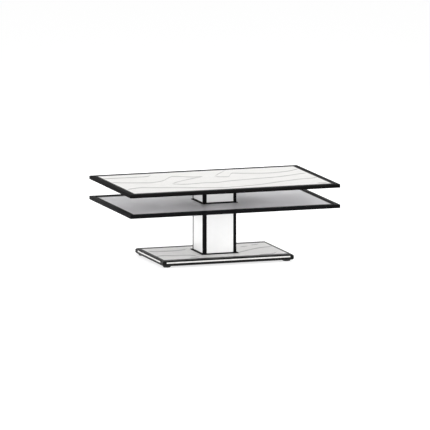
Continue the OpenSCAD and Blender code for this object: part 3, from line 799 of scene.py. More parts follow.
@dataclass(frozen=True)
class Veneer(Finish):
    """Whitewashed veneer: fibre and pores, with the lines of its growth figure laid over them.

    The figure is drawn on the board at a slant to its length. Each line is a run of points of
    metres along and across that slant, and a float curve carries the level between them. The
    pitch is the distance from one growth ring to the next.
    """

    figure: tuple[tuple[tuple[float, float], ...], ...] = ()
    figure_colour: Triple = (0.27, 0.265, 0.26)
    slant: float = 18.6
    span: float = 1.3
    breadth: float = 0.021
    fibre: float = 0.06
    pitch: float = 0.011
    ring_share: float = 0.3
    cloud: float = 3.0
    pores: float = 0.6
    patches: float = 14.0
    ring_run: Triple = (3.0, 9.0, 9.0)
    ring_sway: float = 2.5

    def coat(self, wiring: Wiring) -> Coat:
        """Wires the whitewash, its grey figure and its open pores.

        Args:
            wiring: The material's tree.

        Returns:
            Colour, roughness and height of the veneer.
        """
        place = wiring.place()
        grain = Fibre.use(wiring, Vector=place, Pores=self.pores)
        colour = wiring.mix(grain["Tone"], self.shade(1.0 - self.fibre), self.shade(1.0))
        cloud = Mottle.use(wiring, Vector=place, Scale=self.cloud)["Value"]
        colour = wiring.mix(wiring.times(cloud, 0.25), colour, self.shade(0.96))
        colour = wiring.mix(wiring.times(grain["Pore"], 0.3), colour, self.shade(0.55))
        band, rings = self.lines(wiring, place)
        colour = wiring.mix(wiring.times(rings, self.ring_share), colour, self.shade(0.7))
        streaked = wiring.times(band, wiring.math("MULTIPLY_ADD", rings, 0.5, 0.5))
        colour = wiring.mix(streaked, colour, (*self.figure_colour, 1.0))
        rough = wiring.ramp(grain["Tone"], 0.0, 1.0, self.roughness, self.roughness + 0.08)
        sunk = wiring.math("SUBTRACT", grain["Height"], wiring.times(rings, 0.5))
        return Coat(colour, rough, sunk)

    def lines(self, wiring: Wiring, place: Socket) -> tuple[Socket, Socket]:
        """Lays the figure's lines on what faces up, and the growth rings that flow round them.

        The rings are the steps of a height. Each darkens slowly and ends sharply, as late wood
        does before the next year's early wood.

        Args:
            wiring: The material's tree.
            place: The point on the board.

        Returns:
            How much of the figure's colour shows and how dark the ring is, both between 0 and 1.
        """
        inputs = {"Vector": place, "Rotation": (0.0, 0.0, math.radians(self.slant))}
        x, y, _ = wiring.parts(wiring.node("ShaderNodeMapping", inputs).outputs[0])
        along = wiring.math("MULTIPLY_ADD", x, 1 / self.span, 0.5)
        across = wiring.math("ADD", y, 0.5)
        total: Any = 0.0
        pull: Any = 0.5
        lean: Any = wiring.times(y, 0.5)
        for points in self.figure:
            spots = [(run / self.span + 0.5, level + 0.5) for run, level in points]
            curve = wiring.node("ShaderNodeFloatCurve", {"Value": along})
            self.bend(curve.mapping, spots)
            line = FigureLine.use(
                wiring, Along=along, Across=across, Level=curve.outputs[0],
                Breadth=self.breadth, Start=spots[0][0], End=spots[-1][0],
            )
            total = wiring.math("MAXIMUM", total, line["Mask"])
            pull = wiring.math("ADD", pull, line["Pull"])
            lean = wiring.math("ADD", lean, line["Lean"])
        uneven = wiring.ramp(wiring.noise(place, self.patches, 3.0), 0.3, 0.7, 0.7, 1.0)
        upward = wiring.math("GREATER_THAN", wiring.parts(wiring.facing())[2], 0.9)
        sway = wiring.drawn_noise(place, self.ring_run, 3.0)
        height = wiring.math("DIVIDE", wiring.math("DIVIDE", lean, pull), self.pitch)
        step = wiring.math("FRACT", wiring.math("MULTIPLY_ADD", sway, self.ring_sway, height))
        late = wiring.times(wiring.ramp(step, 0.25, 0.9), wiring.ramp(step, 0.92, 1.0, 1.0, 0.0))
        return wiring.times(total, wiring.times(upward, uneven)), late

    @staticmethod
    def bend(mapping: bpy.types.CurveMapping, spots: Rows) -> None:
        """Puts a line's points into a float curve, whose two ends become the first and the last.

        Args:
            mapping: The curve.
            spots: The points.
        """
        points = mapping.curves[0].points
        while len(points) < len(spots):
            points.new(0.5, 0.5)
        for point, spot in zip(points, spots):
            point.location = spot
            point.handle_type = "AUTO_CLAMPED"
        mapping.update()


@dataclass(frozen=True)
class Stain(Finish):
    """Black stain on a mitred frame: the fibre shows as a faint change of gloss and a relief."""

    pores: float = 0.5
    worn: float = 0.35
    worn_radius: float = 0.0012

    def coat(self, wiring: Wiring) -> Coat:
        """Wires the stained fibre, turned in the short sides of the frame.

        Args:
            wiring: The material's tree.

        Returns:
            Colour, roughness and height of the stain.
        """
        place = wiring.place()
        sides = Mitre.use(wiring, Vector=place, Difference=self.half[0] - self.half[1])
        grain = Fibre.use(wiring, Vector=sides["Vector"], Pores=self.pores)
        colour = wiring.mix(grain["Tone"], self.shade(0.75), self.shade(1.3))
        colour = wiring.mix(sides["Joint"], colour, self.shade(0.2))
        inputs = {"Radius": self.worn_radius, "Amount": self.worn}
        mask = Wear.use(wiring, Vector=place, **inputs)["Mask"]
        colour = wiring.mix(mask, colour, self.shade(5.0))
        rough = wiring.ramp(grain["Tone"], 0.0, 1.0, self.roughness, self.roughness + 0.1)
        return Coat(colour, rough, grain["Height"])


@dataclass(frozen=True)
class Sprayed(Finish):
    """A sprayed, moulded or rubber surface: uneven tone, fine relief, worn edges and dust.

    The grain is the number of bumps in a metre, and the cloud the number of patches.
    """

    cloud: float = 8.0
    uneven: float = 0.08
    grain: float = 700.0
    spread: float = 0.08
    worn: float = 0.0
    worn_colour: Triple = (0.3, 0.3, 0.3)
    worn_radius: float = 0.0009
    dust: float = 0.0

    def coat(self, wiring: Wiring) -> Coat:
        """Wires the tone, the fine bumps, the worn edges and the dust.

        Args:
            wiring: The material's tree.

        Returns:
            Colour, roughness and height of the surface.
        """
        place = wiring.place()
        tone = Mottle.use(wiring, Vector=place, Scale=self.cloud)["Value"]
        colour = wiring.mix(tone, self.shade(1.0 - self.uneven), self.shade(1.0 + self.uneven / 2))
        rough = wiring.ramp(tone, 0.0, 1.0, self.roughness, self.roughness + self.spread)
        if self.worn:
            inputs = {"Radius": self.worn_radius, "Amount": self.worn}
            mask = Wear.use(wiring, Vector=place, **inputs)["Mask"]
            colour = wiring.mix(mask, colour, (*self.worn_colour, 1.0))
        if self.dust:
            film = Dust.use(wiring, Vector=place, Amount=self.dust)["Mask"]
            colour = wiring.mix(film, colour, (*DUST_GREY, 1.0))
            rough = wiring.math("MULTIPLY_ADD", film, 0.4, rough)
        return Coat(colour, rough, wiring.noise(place, self.grain, 2.0))


@dataclass(frozen=True)
class Metal(Finish):
    """Bare, brushed or plated metal: belt marks in one direction and a soft tarnish."""

    run: Triple = (700.0, 700.0, 3.0)
    spread: float = 0.12
    tarnish: Triple = (0.4, 0.4, 0.42)
    tarnished: float = 0.25
    cloud: float = 30.0

    def coat(self, wiring: Wiring) -> Coat:
        """Wires the marks and the tarnish.

        Args:
            wiring: The material's tree.

        Returns:
            Colour, roughness and height of the metal.
        """
        place = wiring.place()
        marks = Streaks.use(wiring, Vector=place, Run=self.run)["Value"]
        patches = Mottle.use(wiring, Vector=place, Scale=self.cloud)["Value"]
        share = wiring.times(patches, self.tarnished)
        colour = wiring.mix(share, self.shade(1.0), (*self.tarnish, 1.0))
        colour = wiring.mix(wiring.times(marks, 0.2), colour, self.shade(0.7))
        low, high = self.roughness - self.spread / 2, self.roughness + self.spread / 2
        rough = wiring.ramp(marks, 0.3, 0.7, low, high)
        return Coat(colour, wiring.math("MULTIPLY_ADD", share, 0.3, rough), marks)


@dataclass(frozen=True)
class Felt(Finish):
    """Pressed wool felt: a tangle of short fibres, lighter where they stand up."""

    run: Triple = (400.0, 2600.0, 1500.0)
    cloud: float = 90.0

    def coat(self, wiring: Wiring) -> Coat:
        """Wires two crossed sets of fibres over a soft cloud.

        Args:
            wiring: The material's tree.

        Returns:
            Colour, roughness and height of the felt.
        """
        place = wiring.place()
        crossed = (self.run[1], self.run[0], self.run[2])
        one = Streaks.use(wiring, Vector=place, Run=self.run)["Value"]
        two = Streaks.use(wiring, Vector=place, Run=crossed)["Value"]
        tangle = wiring.math("MAXIMUM", one, two)
        cloud = Mottle.use(wiring, Vector=place, Scale=self.cloud)["Value"]
        colour = wiring.mix(wiring.ramp(tangle, 0.4, 0.75), self.shade(0.6), self.shade(1.5))
        colour = wiring.mix(wiring.times(cloud, 0.35), colour, self.shade(0.8))
        return Coat(colour, wiring.ramp(tangle, 0.3, 0.8, self.roughness, 1.0), tangle)


TOP_FIGURE = (
    ((-0.585, 0.035), (-0.42, 0.085), (-0.36, 0.11), (-0.33, 0.155)),
    (
        (-0.54, -0.085), (-0.475, -0.1), (-0.35, -0.1), (-0.3, -0.07), (-0.265, -0.02),
        (-0.24, 0.07), (-0.21, 0.115), (-0.115, 0.1), (-0.058, 0.12),
    ),
    ((-0.224, -0.137), (-0.195, -0.075), (-0.135, 0.02), (-0.058, 0.118)),
    (
        (-0.224, -0.137), (-0.165, -0.15), (-0.1, -0.125), (-0.045, -0.095), (0.005, -0.09),
        (0.07, -0.04), (0.2, 0.035), (0.335, 0.11), (0.455, 0.215), (0.485, 0.24),
    ),
    ((-0.003, 0.112), (0.018, 0.195), (0.062, 0.345)),
    (
        (-0.003, 0.112), (0.04, 0.105), (0.07, 0.105), (0.08, 0.15), (0.095, 0.23), (0.15, 0.225),
        (0.22, 0.225), (0.35, 0.27), (0.43, 0.36), (0.445, 0.39),
    ),
    (
        (-0.46, -0.345), (-0.42, -0.29), (-0.355, -0.26), (-0.245, -0.26), (-0.045, -0.265),
        (0.05, -0.255), (0.145, -0.21), (0.24, -0.15), (0.335, -0.065), (0.45, 0.03),
        (0.525, 0.075), (0.545, 0.135),
    ),
    ((0.53, -0.105), (0.595, -0.095)),
)
BASE_FIGURE = (
    ((-0.35, -0.01), (-0.245, 0.0), (-0.18, 0.03), (-0.14, 0.085)),
    ((-0.32, -0.185), (-0.255, -0.145), (-0.2, -0.15), (-0.145, -0.13), (-0.09, -0.15)),
    ((-0.135, -0.22), (-0.07, -0.18)),
    ((0.11, -0.07), (0.165, 0.02), (0.235, 0.11), (0.305, 0.16)),
    ((0.13, 0.14), (0.18, 0.17)),
    ((0.185, 0.2), (0.235, 0.23)),
    ((0.23, -0.115), (0.305, -0.07), (0.33, 0.0)),
)

WOOD_TOP = Veneer(
    "wood_top", "wood", WHITEWASH, 0.42, specular=0.12, relief=0.0001, figure=TOP_FIGURE,
    border=(0.008, 0.018, 0.0005),
)
WOOD_BASE = Veneer(
    "wood_base", "wood", WHITEWASH, 0.42, specular=0.12, relief=0.0001, figure=BASE_FIGURE,
    border=(0.021, 0.046, 0.0108), figure_colour=(0.2, 0.195, 0.19),
)
EDGE_STAIN = Stain("edge_stain", "edge_black", BLACK_STAIN, 0.55, specular=0.02, relief=0.00006)
TRIM_BLACK = Sprayed(
    "anodised_black", "trim_black", (0.0055, 0.0055, 0.006), 0.45, specular=0.02, relief=0.00001,
    grain=2500.0, worn=0.2,
)
GLASS_GREY = Sprayed(
    "glass_grey", "glass_grey", (0.82, 0.815, 0.845), 0.32, relief=0.0, ior=1.45, specular=0.3,
    cloud=2.5, uneven=0.02, grain=20.0, spread=0.04, dust=0.05, border=(0.032, 0.055, 0.0005),
)
COLUMN_WHITE = Sprayed(
    "column_white", "column_white", (0.86, 0.86, 0.855), 0.3, relief=0.00002,
    cloud=6.0, uneven=0.02, grain=450.0, spread=0.05, clear=0.2,
)
STEEL_BLACK = Sprayed(
    "powder_black", "steel_black", (0.01, 0.01, 0.0105), 0.55, specular=0.2, relief=0.00005,
    grain=1100.0, worn=0.25, worn_colour=(0.12, 0.12, 0.12),
)
STEEL_ZINC = Metal(
    "zinc_plate", "steel_zinc", (0.66, 0.68, 0.7), 0.3, metallic=1.0, relief=0.00001,
    run=(900.0, 900.0, 900.0), tarnish=(0.55, 0.56, 0.5), cloud=140.0,
)
STEEL_SATIN = Metal(
    "steel_satin", "steel_satin", (0.6, 0.6, 0.6), 0.34, metallic=1.0, relief=0.00001,
    run=(1400.0, 1400.0, 6.0), tarnished=0.12,
)
STEEL_RAW = Metal(
    "mill_scale", "steel_raw", (0.16, 0.165, 0.18), 0.5, metallic=0.7, relief=0.00008,
    run=(90.0, 260.0, 260.0), tarnish=(0.1, 0.075, 0.06), tarnished=0.5, cloud=12.0,
)
ROD_CHROME = Metal(
    "rod_chrome", "rod_chrome", (0.78, 0.78, 0.79), 0.09, metallic=1.0, relief=0.000004,
    run=(900.0, 900.0, 900.0), spread=0.04, tarnished=0.05,
)
PLASTIC_BLACK = Sprayed(
    "plastic_black", "plastic_black", (0.018, 0.018, 0.019), 0.42, specular=0.35, relief=0.00003,
    grain=1500.0, worn=0.15, worn_colour=(0.06, 0.06, 0.06),
)
PLASTIC_NATURAL = Sprayed(
    "plastic_natural", "plastic_natural", (0.78, 0.77, 0.73), 0.4, relief=0.00002, grain=900.0,
)
RUBBER_BLACK = Sprayed(
    "rubber_black", "rubber_black", (0.017, 0.017, 0.017), 0.7, specular=0.25, relief=0.00006,
    cloud=40.0, uneven=0.2, grain=1300.0,
)
SILICONE = Sprayed(
    "silicone_clear", "silicone_clear", (0.75, 0.77, 0.78), 0.3, relief=0.00001,
    cloud=60.0, transmission=0.5, ior=1.41,
)
FELT_GREY = Felt("felt_grey", "felt_grey", (0.13, 0.125, 0.12), 0.9, sheen=0.3, relief=0.0004)
BRASS = Metal(
    "brass", "brass", (0.76, 0.56, 0.27), 0.26, metallic=1.0, relief=0.00001,
    run=(900.0, 900.0, 60.0), tarnish=(0.45, 0.3, 0.14), tarnished=0.35, cloud=60.0,
)


# ---- Pieces ----


@dataclass(frozen=True)
class Screw:
    """A screw's shank and head, with a hexagon socket in the head."""

    shank: float
    head: float
    socket: float
    cone: bool = True
    head_height: float = 0.003
    socket_depth: float = 0.0018
    cone_edge: float = 0.0002
    pan_edge: float = 0.0005
    crown: float = 0.0004
    points: int = 24

    def profile(self, length: float) -> Rows:
        """Lists the rows of the screw, from the floor of its socket over its head to its tip.

        Args:
            length: From the head's face to the tip.

        Returns:
            Rows of radius, height and share of a hexagon.
        """
        shank, head, socket = self.shank / 2, self.head / 2, self.socket / 2
        under = head - shank if self.cone else self.head_height
        rim = [(head, self.cone_edge)] if self.cone else [(head, self.pan_edge), (head, under)]
        return [
            (socket * 0.98, self.socket_depth, 1.0),
            (socket, 0.0, 1.0),
            (head - self.crown, 0.0),
            *rim,
            (shank, under),
            (shank, length - shank),
            (shank * 0.35, length),
        ]


WOOD_SCREW = Screw(0.0045, 0.009, 0.0038)
SMALL_SCREW = Screw(0.003, 0.006, 0.0026)
PAN_SCREW = Screw(0.005, 0.011, 0.0042, cone=False)


@dataclass
class Assembly:
    """A sub-assembly on one body of the frame.

    An edge stays sharp above the sharp angle and goes below the flat one, in degrees. Corners
    within the weld count as one, in metres.
    """

    nodes: dict[str, bpy.types.Object]
    body: str = ""
    sharp: float = 35.0
    flat: float = 0.5
    weld: float = 1e-5
    made: list[bpy.types.Object] = field(default_factory=list)

    def build(self) -> None:
        """Builds and dresses every piece of the sub-assembly."""
        raise NotImplementedError

    @staticmethod
    def box(node: str) -> Box:
        """The box of a CAD node at rest."""
        low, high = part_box(node)
        return Box(np.array(low, float), np.array(high, float))

    def solids(self, node: str) -> list[Box]:
        """Finds the box of each separate solid in a CAD node.

        Each corner takes the lowest label among those that share a face with it, over and over,
        until the labels stay.

        Args:
            node: Name of the CAD node.

        Returns:
            One box for each solid, in the order of their x, y and z.
        """
        mesh = self.nodes[node].data
        points = np.empty(len(mesh.vertices) * 3, np.float32)
        mesh.vertices.foreach_get("co", points)
        loops = np.empty(len(mesh.loops), np.int32)
        mesh.loops.foreach_get("vertex_index", loops)
        points = points.reshape(-1, 3).astype(float)
        grid = np.round(points / self.weld).astype(int)
        _, joined = np.unique(grid, axis=0, return_inverse=True)
        joined = joined.reshape(-1)
        corners = joined[loops.reshape(-1, 3)]
        labels = np.arange(joined.max() + 1)
        while True:
            lowest = labels[corners].min(axis=1)
            spread = labels.copy()
            np.minimum.at(spread, corners.ravel(), np.repeat(lowest, 3))
            if (spread == labels).all():
                break
            labels = spread
        owner = labels[joined]
        groups = [points[owner == label] for label in np.unique(owner)]
        boxes = [Box(group.min(axis=0), group.max(axis=0)) for group in groups]
        return sorted(boxes, key=lambda box: tuple(np.round(box.middle, 4)))

    def alike(self, node: str) -> tuple[Box, np.ndarray]:
        """Measures the equal solids of a CAD node.

        Args:
            node: Name of the CAD node.

        Returns:
            The box of the first solid, and the foot of each.
        """
        boxes = self.solids(node)
        return boxes[0], np.array([box.foot for box in boxes])

    def fitted(self, coat: Finish, node: str, rise: float = 0.0) -> Finish:
        """Lays the border or the mitre of a finish out on a CAD node.

        Args:
            coat: The finish.
            node: The CAD node.
            rise: How far the bare strip on its edges lies above the middle of them.

        Returns:
            The finish for that piece.
        """
        box = self.box(node)
        middle = (box.middle[0], box.middle[1], box.middle[2] + rise)
        return replace(coat, middle=middle, half=tuple(box.half))

    def finish(self, piece: bpy.types.Object, node: str, coat: Finish) -> None:
        """Gives a piece its body and its finish, and lets it stand for a CAD node.

        Args:
            piece: The new piece.
            node: The CAD node that it replaces.
            coat: Its finish.
        """
        piece.data.materials.append(coat.material())
        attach(piece, self.body)
        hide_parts(node)
        self.made.append(piece)
        faces = len(piece.data.polygons)
        LOG.info("%s: %s in %s, %d faces", self.body, piece.name, coat.name, faces)

    def shell(self, node: str, skin: Skin, coat: Finish) -> None:
        """Makes a piece from a surface.

        Args:
            node: The CAD node that it replaces.
            skin: The surface.
            coat: Its finish.
        """
        mesh = bpy.data.meshes.new(f"{node}_shell")
        faces = [corners for group in skin.faces for corners in group.tolist()]
        mesh.from_pydata(skin.vertices.tolist(), [], faces)
        mesh.polygons.foreach_set("use_smooth", np.ones(len(faces), bool))
        mesh.set_sharp_from_angle(angle=math.radians(self.sharp))
        self.finish(hang(mesh.name, mesh), node, coat)

    def rounds(
        self, node: str, coat: Finish, ease: float, core: float = 0.002, steps: int = 48
    ) -> None:
        """Turns the round solids of a CAD node, with flat ends and rounded edges.

        Args:
            node: The CAD node.
            coat: Their finish.
            ease: Radius of the rounding.
            core: Radius of the innermost ring on both ends.
            steps: Points in each ring.
        """
        first, feet = self.alike(node)
        profile = rounded(core, first.half[0], first.height, ease)
        self.shell(node, turned(feet, profile, steps), coat)

    def screws(self, node: str, screw: Screw) -> None:
        """Turns the screws of a CAD node, heads down, each with a hexagon socket in its head.

        Args:
            node: The CAD node.
            screw: Their size.
        """
        first, feet = self.alike(node)
        skin = turned(feet, screw.profile(first.height), screw.points)
        self.shell(node, skin, STEEL_ZINC)

    def dressed(self, node: str, coat: Finish, ease: Ease = Ease.BROKEN) -> None:
        """Makes a piece from a copy of a CAD node: joined up, with flat faces and eased edges.

        Args:
            node: The CAD node.
            coat: Its finish.
            ease: How far its edges are taken back.
        """
        mesh = bpy.data.meshes.new(f"{node}_dressed")
        work = bmesh.new()
        work.from_mesh(self.nodes[node].data)
        bmesh.ops.remove_doubles(work, verts=work.verts, dist=self.weld)
        bmesh.ops.dissolve_limit(
            work, angle_limit=math.radians(self.flat), verts=work.verts, edges=work.edges
        )
        work.to_mesh(mesh)
        work.free()
        mesh.materials.clear()
        mesh.polygons.foreach_set("material_index", np.zeros(len(mesh.polygons), np.int32))
        mesh.polygons.foreach_set("use_smooth", np.ones(len(mesh.polygons), bool))
        piece = hang(mesh.name, mesh)
        if ease is Ease.CRISP:
            mesh.set_sharp_from_angle(angle=math.radians(self.sharp))
        else:
            bevel = piece.modifiers.new("eased_edges", "BEVEL")
            bevel.width = ease.value
            bevel.segments = 2
            bevel.limit_method = "ANGLE"
            bevel.angle_limit = math.radians(self.sharp)
        weighted = piece.modifiers.new("flat_faces", "WEIGHTED_NORMAL")
        weighted.weight = 100
        weighted.keep_sharp = True
        self.finish(piece, node, coat)


@dataclass
class Base(Assembly):
    """The board on the floor, with its ballast, its four glides and what bolts the column down."""

    body: str = "base"
    strip_rise: float = 0.004
    glide_edge: float = 0.0009
    pad_edge: float = 0.0009
    pad_play: float = 0.0001
    screw_play: float = 0.00005
    points: int = 96

    def build(self) -> None:
        """Builds the board, the ballast, the glides and the column's foot."""
        wood = self.fitted(WOOD_BASE, "base_plate", self.strip_rise)
        self.dressed("base_plate", wood, Ease.EASED)
        self.dressed("ballast_plate", STEEL_RAW, Ease.EASED)
        self.screws("ballast_screws", WOOD_SCREW)
        self.glides()
        self.rounds("glide_pads", FELT_GREY, self.pad_edge, steps=self.points)
        self.screws("glide_screws", WOOD_SCREW)
        self.dressed("base_gasket", RUBBER_BLACK, Ease.EASED)
        self.dressed("foot_plate", STEEL_ZINC)
        self.dressed("column_bolts", STEEL_ZINC)

    def glides(self) -> None:
        """Turns the glides, with a bore for their screws and a seat for their pads."""
        glide, feet = self.alike("glide_feet")
        pad = self.solids("glide_pads")[0]
        seat, recess = pad.half[0] + self.pad_play, pad.high[2] - glide.low[2]
        bore = WOOD_SCREW.shank / 2 + self.screw_play
        mouth = WOOD_SCREW.head / 2 + self.screw_play
        side = rounded(seat, glide.half[0], glide.height, self.glide_edge)[:-1]
        profile = [
            (bore, glide.height), (bore, recess + mouth - bore), (mouth, recess), (seat, recess),
            *side,
        ]
        skin = turned(feet, profile, self.points, closed=True)
        self.shell("glide_feet", skin, PLASTIC_BLACK)


@dataclass
class Column(Assembly):
    """The fixed square column: black sleeve, white panels, guide collar and the spring's rod."""

    body: str = "base"
    panel_edge: float = 0.0006
    panel_steps: int = 4
    bumper_edge: float = 0.0015
    rod_edge: float = 0.0005
    rod_core: float = 0.001

    def build(self) -> None:
        """Builds the sleeve, its panels, the collar, the bumpers and the rod."""
        self.dressed("column_sleeve", STEEL_BLACK)
        self.panels()
        self.dressed("corner_profiles", TRIM_BLACK)
        self.dressed("foot_cover", TRIM_BLACK, Ease.EASED)
        self.dressed("guide_collar", PLASTIC_BLACK)
        self.dressed("collar_screws", STEEL_ZINC, Ease.CRISP)
        self.rounds("rest_bumpers", RUBBER_BLACK, self.bumper_edge)
        self.rounds("spring_rod", ROD_CHROME, self.rod_edge, self.rod_core)
        self.dressed("spring_piston", BRASS)
        self.dressed("rod_nut", STEEL_ZINC)

    def panels(self) -> None:
        """Carries the side of each panel round its outline, with all its edges rounded."""
        edge, steps = self.panel_edge, self.panel_steps
        skins = [
            carried(box, edge, eased_side(box.height, edge, steps), steps, closed=False)
            for box in self.solids("column_panels")
        ]
        self.shell("column_panels", gathered(skins), COLUMN_WHITE)


@dataclass
class Shelf(Assembly):
    """The fixed glass shelf in its trim, on a welded carrier."""

    body: str = "base"
    pad_edge: float = 0.0008
    glass_corner: float = 0.002
    ground: float = 0.0004
    opening_half: float = 0.094
    opening_corner: float = 0.007
    trim_corner: float = 0.004
    trim_edge: float = 0.0007
    trim_leg: float = 0.003
    trim_reach: float = 0.026
    chamfer: float = 0.0003

    def build(self) -> None:
        """Builds the carrier, the pads, the glass, its trim and its seal."""
        self.dressed("shelf_carrier", STEEL_BLACK, Ease.EASED)
        self.rounds("shelf_pads", SILICONE, self.pad_edge)
        self.glass()
        self.trim()
        self.dressed("shelf_gasket", RUBBER_BLACK, Ease.EASED)

    def glass(self) -> None:
        """Carries the glass's ground edge round the outside and round the opening.

        Every row is the outline of the outside or of the opening, drawn in by its inset. The faces
        above and below run straight from the one outline to the other.
        """
        box = self.box("glass_shelf")
        thick, ground = box.height, self.ground
        mouth = np.array([self.opening_half, self.opening_half])
        outside = [(0.0, ground), (0.0, thick - ground), (ground, thick)]
        inside = [(-ground, thick), (0.0, thick - ground), (0.0, ground), (-ground, 0.0)]
        rows = [(box.half[:2], self.glass_corner, inset, height) for inset, height in outside]
        rows += [(mouth, self.opening_corner, inset, height) for inset, height in inside]
        rows.append((box.half[:2], self.glass_corner, ground, 0.0))
        rings = [
            level_ring(box, half - inset, corner, height) for half, corner, inset, height in rows
        ]
        coat = self.fitted(GLASS_GREY, "glass_shelf")
        self.shell("glass_shelf", stitch(np.array(rings), closed=True), coat)

    def trim(self) -> None:
        """Carries the trim's channel round the glass, with its outer edges rounded."""
        box = self.box("shelf_trim")
        top, leg, reach, fine = box.height, self.trim_leg, self.trim_reach, self.chamfer
        inside = [
            (reach - fine, top), (reach, top - fine), (reach, top - leg), (leg, top - leg),
            (leg, leg), (reach, leg), (reach, fine), (reach - fine, 0.0),
        ]
        profile = np.concatenate([eased_side(top, self.trim_edge), inside])
        self.shell("shelf_trim", carried(box, self.trim_corner, profile), TRIM_BLACK)


@dataclass
class Lift(Assembly):
    """What slides: the tube on its shoes, the gas spring's cylinder and the top's carrier."""

    body: str = "lift"

    def build(self) -> None:
        """Builds the tube, the shoes, the cylinder and the carrier."""
        self.dressed("lift_tube", STEEL_SATIN, Ease.EASED)
        self.dressed("guide_shoes", PLASTIC_NATURAL)
        self.dressed("shoe_screws", STEEL_ZINC, Ease.CRISP)
        self.dressed("spring_cylinder", STEEL_BLACK, Ease.CRISP)
        self.dressed("spring_gland", PLASTIC_BLACK)
        self.dressed("spring_socket", STEEL_ZINC)
        self.dressed("top_carrier", STEEL_BLACK, Ease.EASED)
        self.screws("carrier_screws", PAN_SCREW)


@dataclass
class Top(Assembly):
    """The whitewashed board, its black lipping and the battens let into its underside."""

    body: str = "lift"
    corner: float = 0.004
    edge: float = 0.0012
    edge_steps: int = 5
    chamfer: float = 0.0003

    def build(self) -> None:
        """Builds the board, the lipping and the battens."""
        self.dressed("table_top", self.fitted(WOOD_TOP, "table_top"))
        self.lipping()
        self.dressed("cross_battens", STEEL_BLACK, Ease.EASED)
        self.screws("batten_screws", SMALL_SCREW)

    def lipping(self) -> None:
        """Carries the lipping's section round the board: rounded outside, chamfered inside."""
        box = self.box("edge_lipping")
        width, fine = box.half[1] - self.box("table_top").half[1], self.chamfer
        inside = [
            (width - fine, box.height), (width, box.height - fine), (width, fine),
            (width - fine, 0.0),
        ]
        profile = np.concatenate([eased_side(box.height, self.edge, self.edge_steps), inside])
        coat = self.fitted(EDGE_STAIN, "edge_lipping")
        self.shell("edge_lipping", carried(box, self.corner, profile), coat)


@dataclass
class Bearings(Assembly):
    """The three bearings of the release shaft and their screws, fixed to the board."""

    body: str = "lift"

    def build(self) -> None:
        """Builds the bearings and their screws."""
        self.dressed("shaft_bearings", PLASTIC_NATURAL)
        self.screws("bearing_screws", SMALL_SCREW)


@dataclass
class Linkage(Assembly):
    """What turns under the top to release the lift: shaft, finger, paddle and pins."""

    body: str = "release"
    shaft_edge: float = 0.0004
    shaft_core: float = 0.0008

    def build(self) -> None:
        """Turns the shaft about Y, then builds the finger, the paddle and the pins."""
        shaft = self.box("release_shaft")
        profile = rounded(self.shaft_core, shaft.half[0], 2 * shaft.half[1], self.shaft_edge)
        end = np.array([shaft.middle[0], shaft.low[1], shaft.middle[2]])
        self.shell("release_shaft", turned(end, profile, axis=Axis.BACK), STEEL_ZINC)
        self.dressed("release_finger", STEEL_ZINC)
        self.dressed("release_paddle", PLASTIC_BLACK, Ease.EASED)
        self.dressed("release_pins", STEEL_SATIN, Ease.CRISP)


@dataclass
class Valve(Assembly):
    """The pin that opens the gas spring."""

    body: str = "valve"
    pin_edge: float = 0.0008
    pin_core: float = 0.0006

    def build(self) -> None:
        """Turns the pin, with a rounded end that the finger presses."""
        self.rounds("valve_pin", BRASS, self.pin_edge, self.pin_core)


# ---- Studio ----


class Lamp(NamedTuple):
    """A square soft lamp: the place of its middle, its side in metres and its power in watts."""

    name: str
    place: Triple
    size: float
    power: float


LAMPS = (
    Lamp("over", (0.0, 0.5, 5.5), 3.0, 88.0),
    Lamp("key", (-2.8, -3.8, 3.0), 2.4, 12.0),
    Lamp("front", (-0.4, -5.0, 0.55), 1.0, 88.0),
    Lamp("low_left", (-2.4, -5.4, 0.6), 1.0, 42.0),
    Lamp("left", (-5.0, 0.3, 0.6), 1.0, 118.0),
    Lamp("back", (1.0, 5.0, 1.3), 1.4, 140.0),
    Lamp("right", (5.0, -1.0, 1.3), 1.4, 135.0),
)


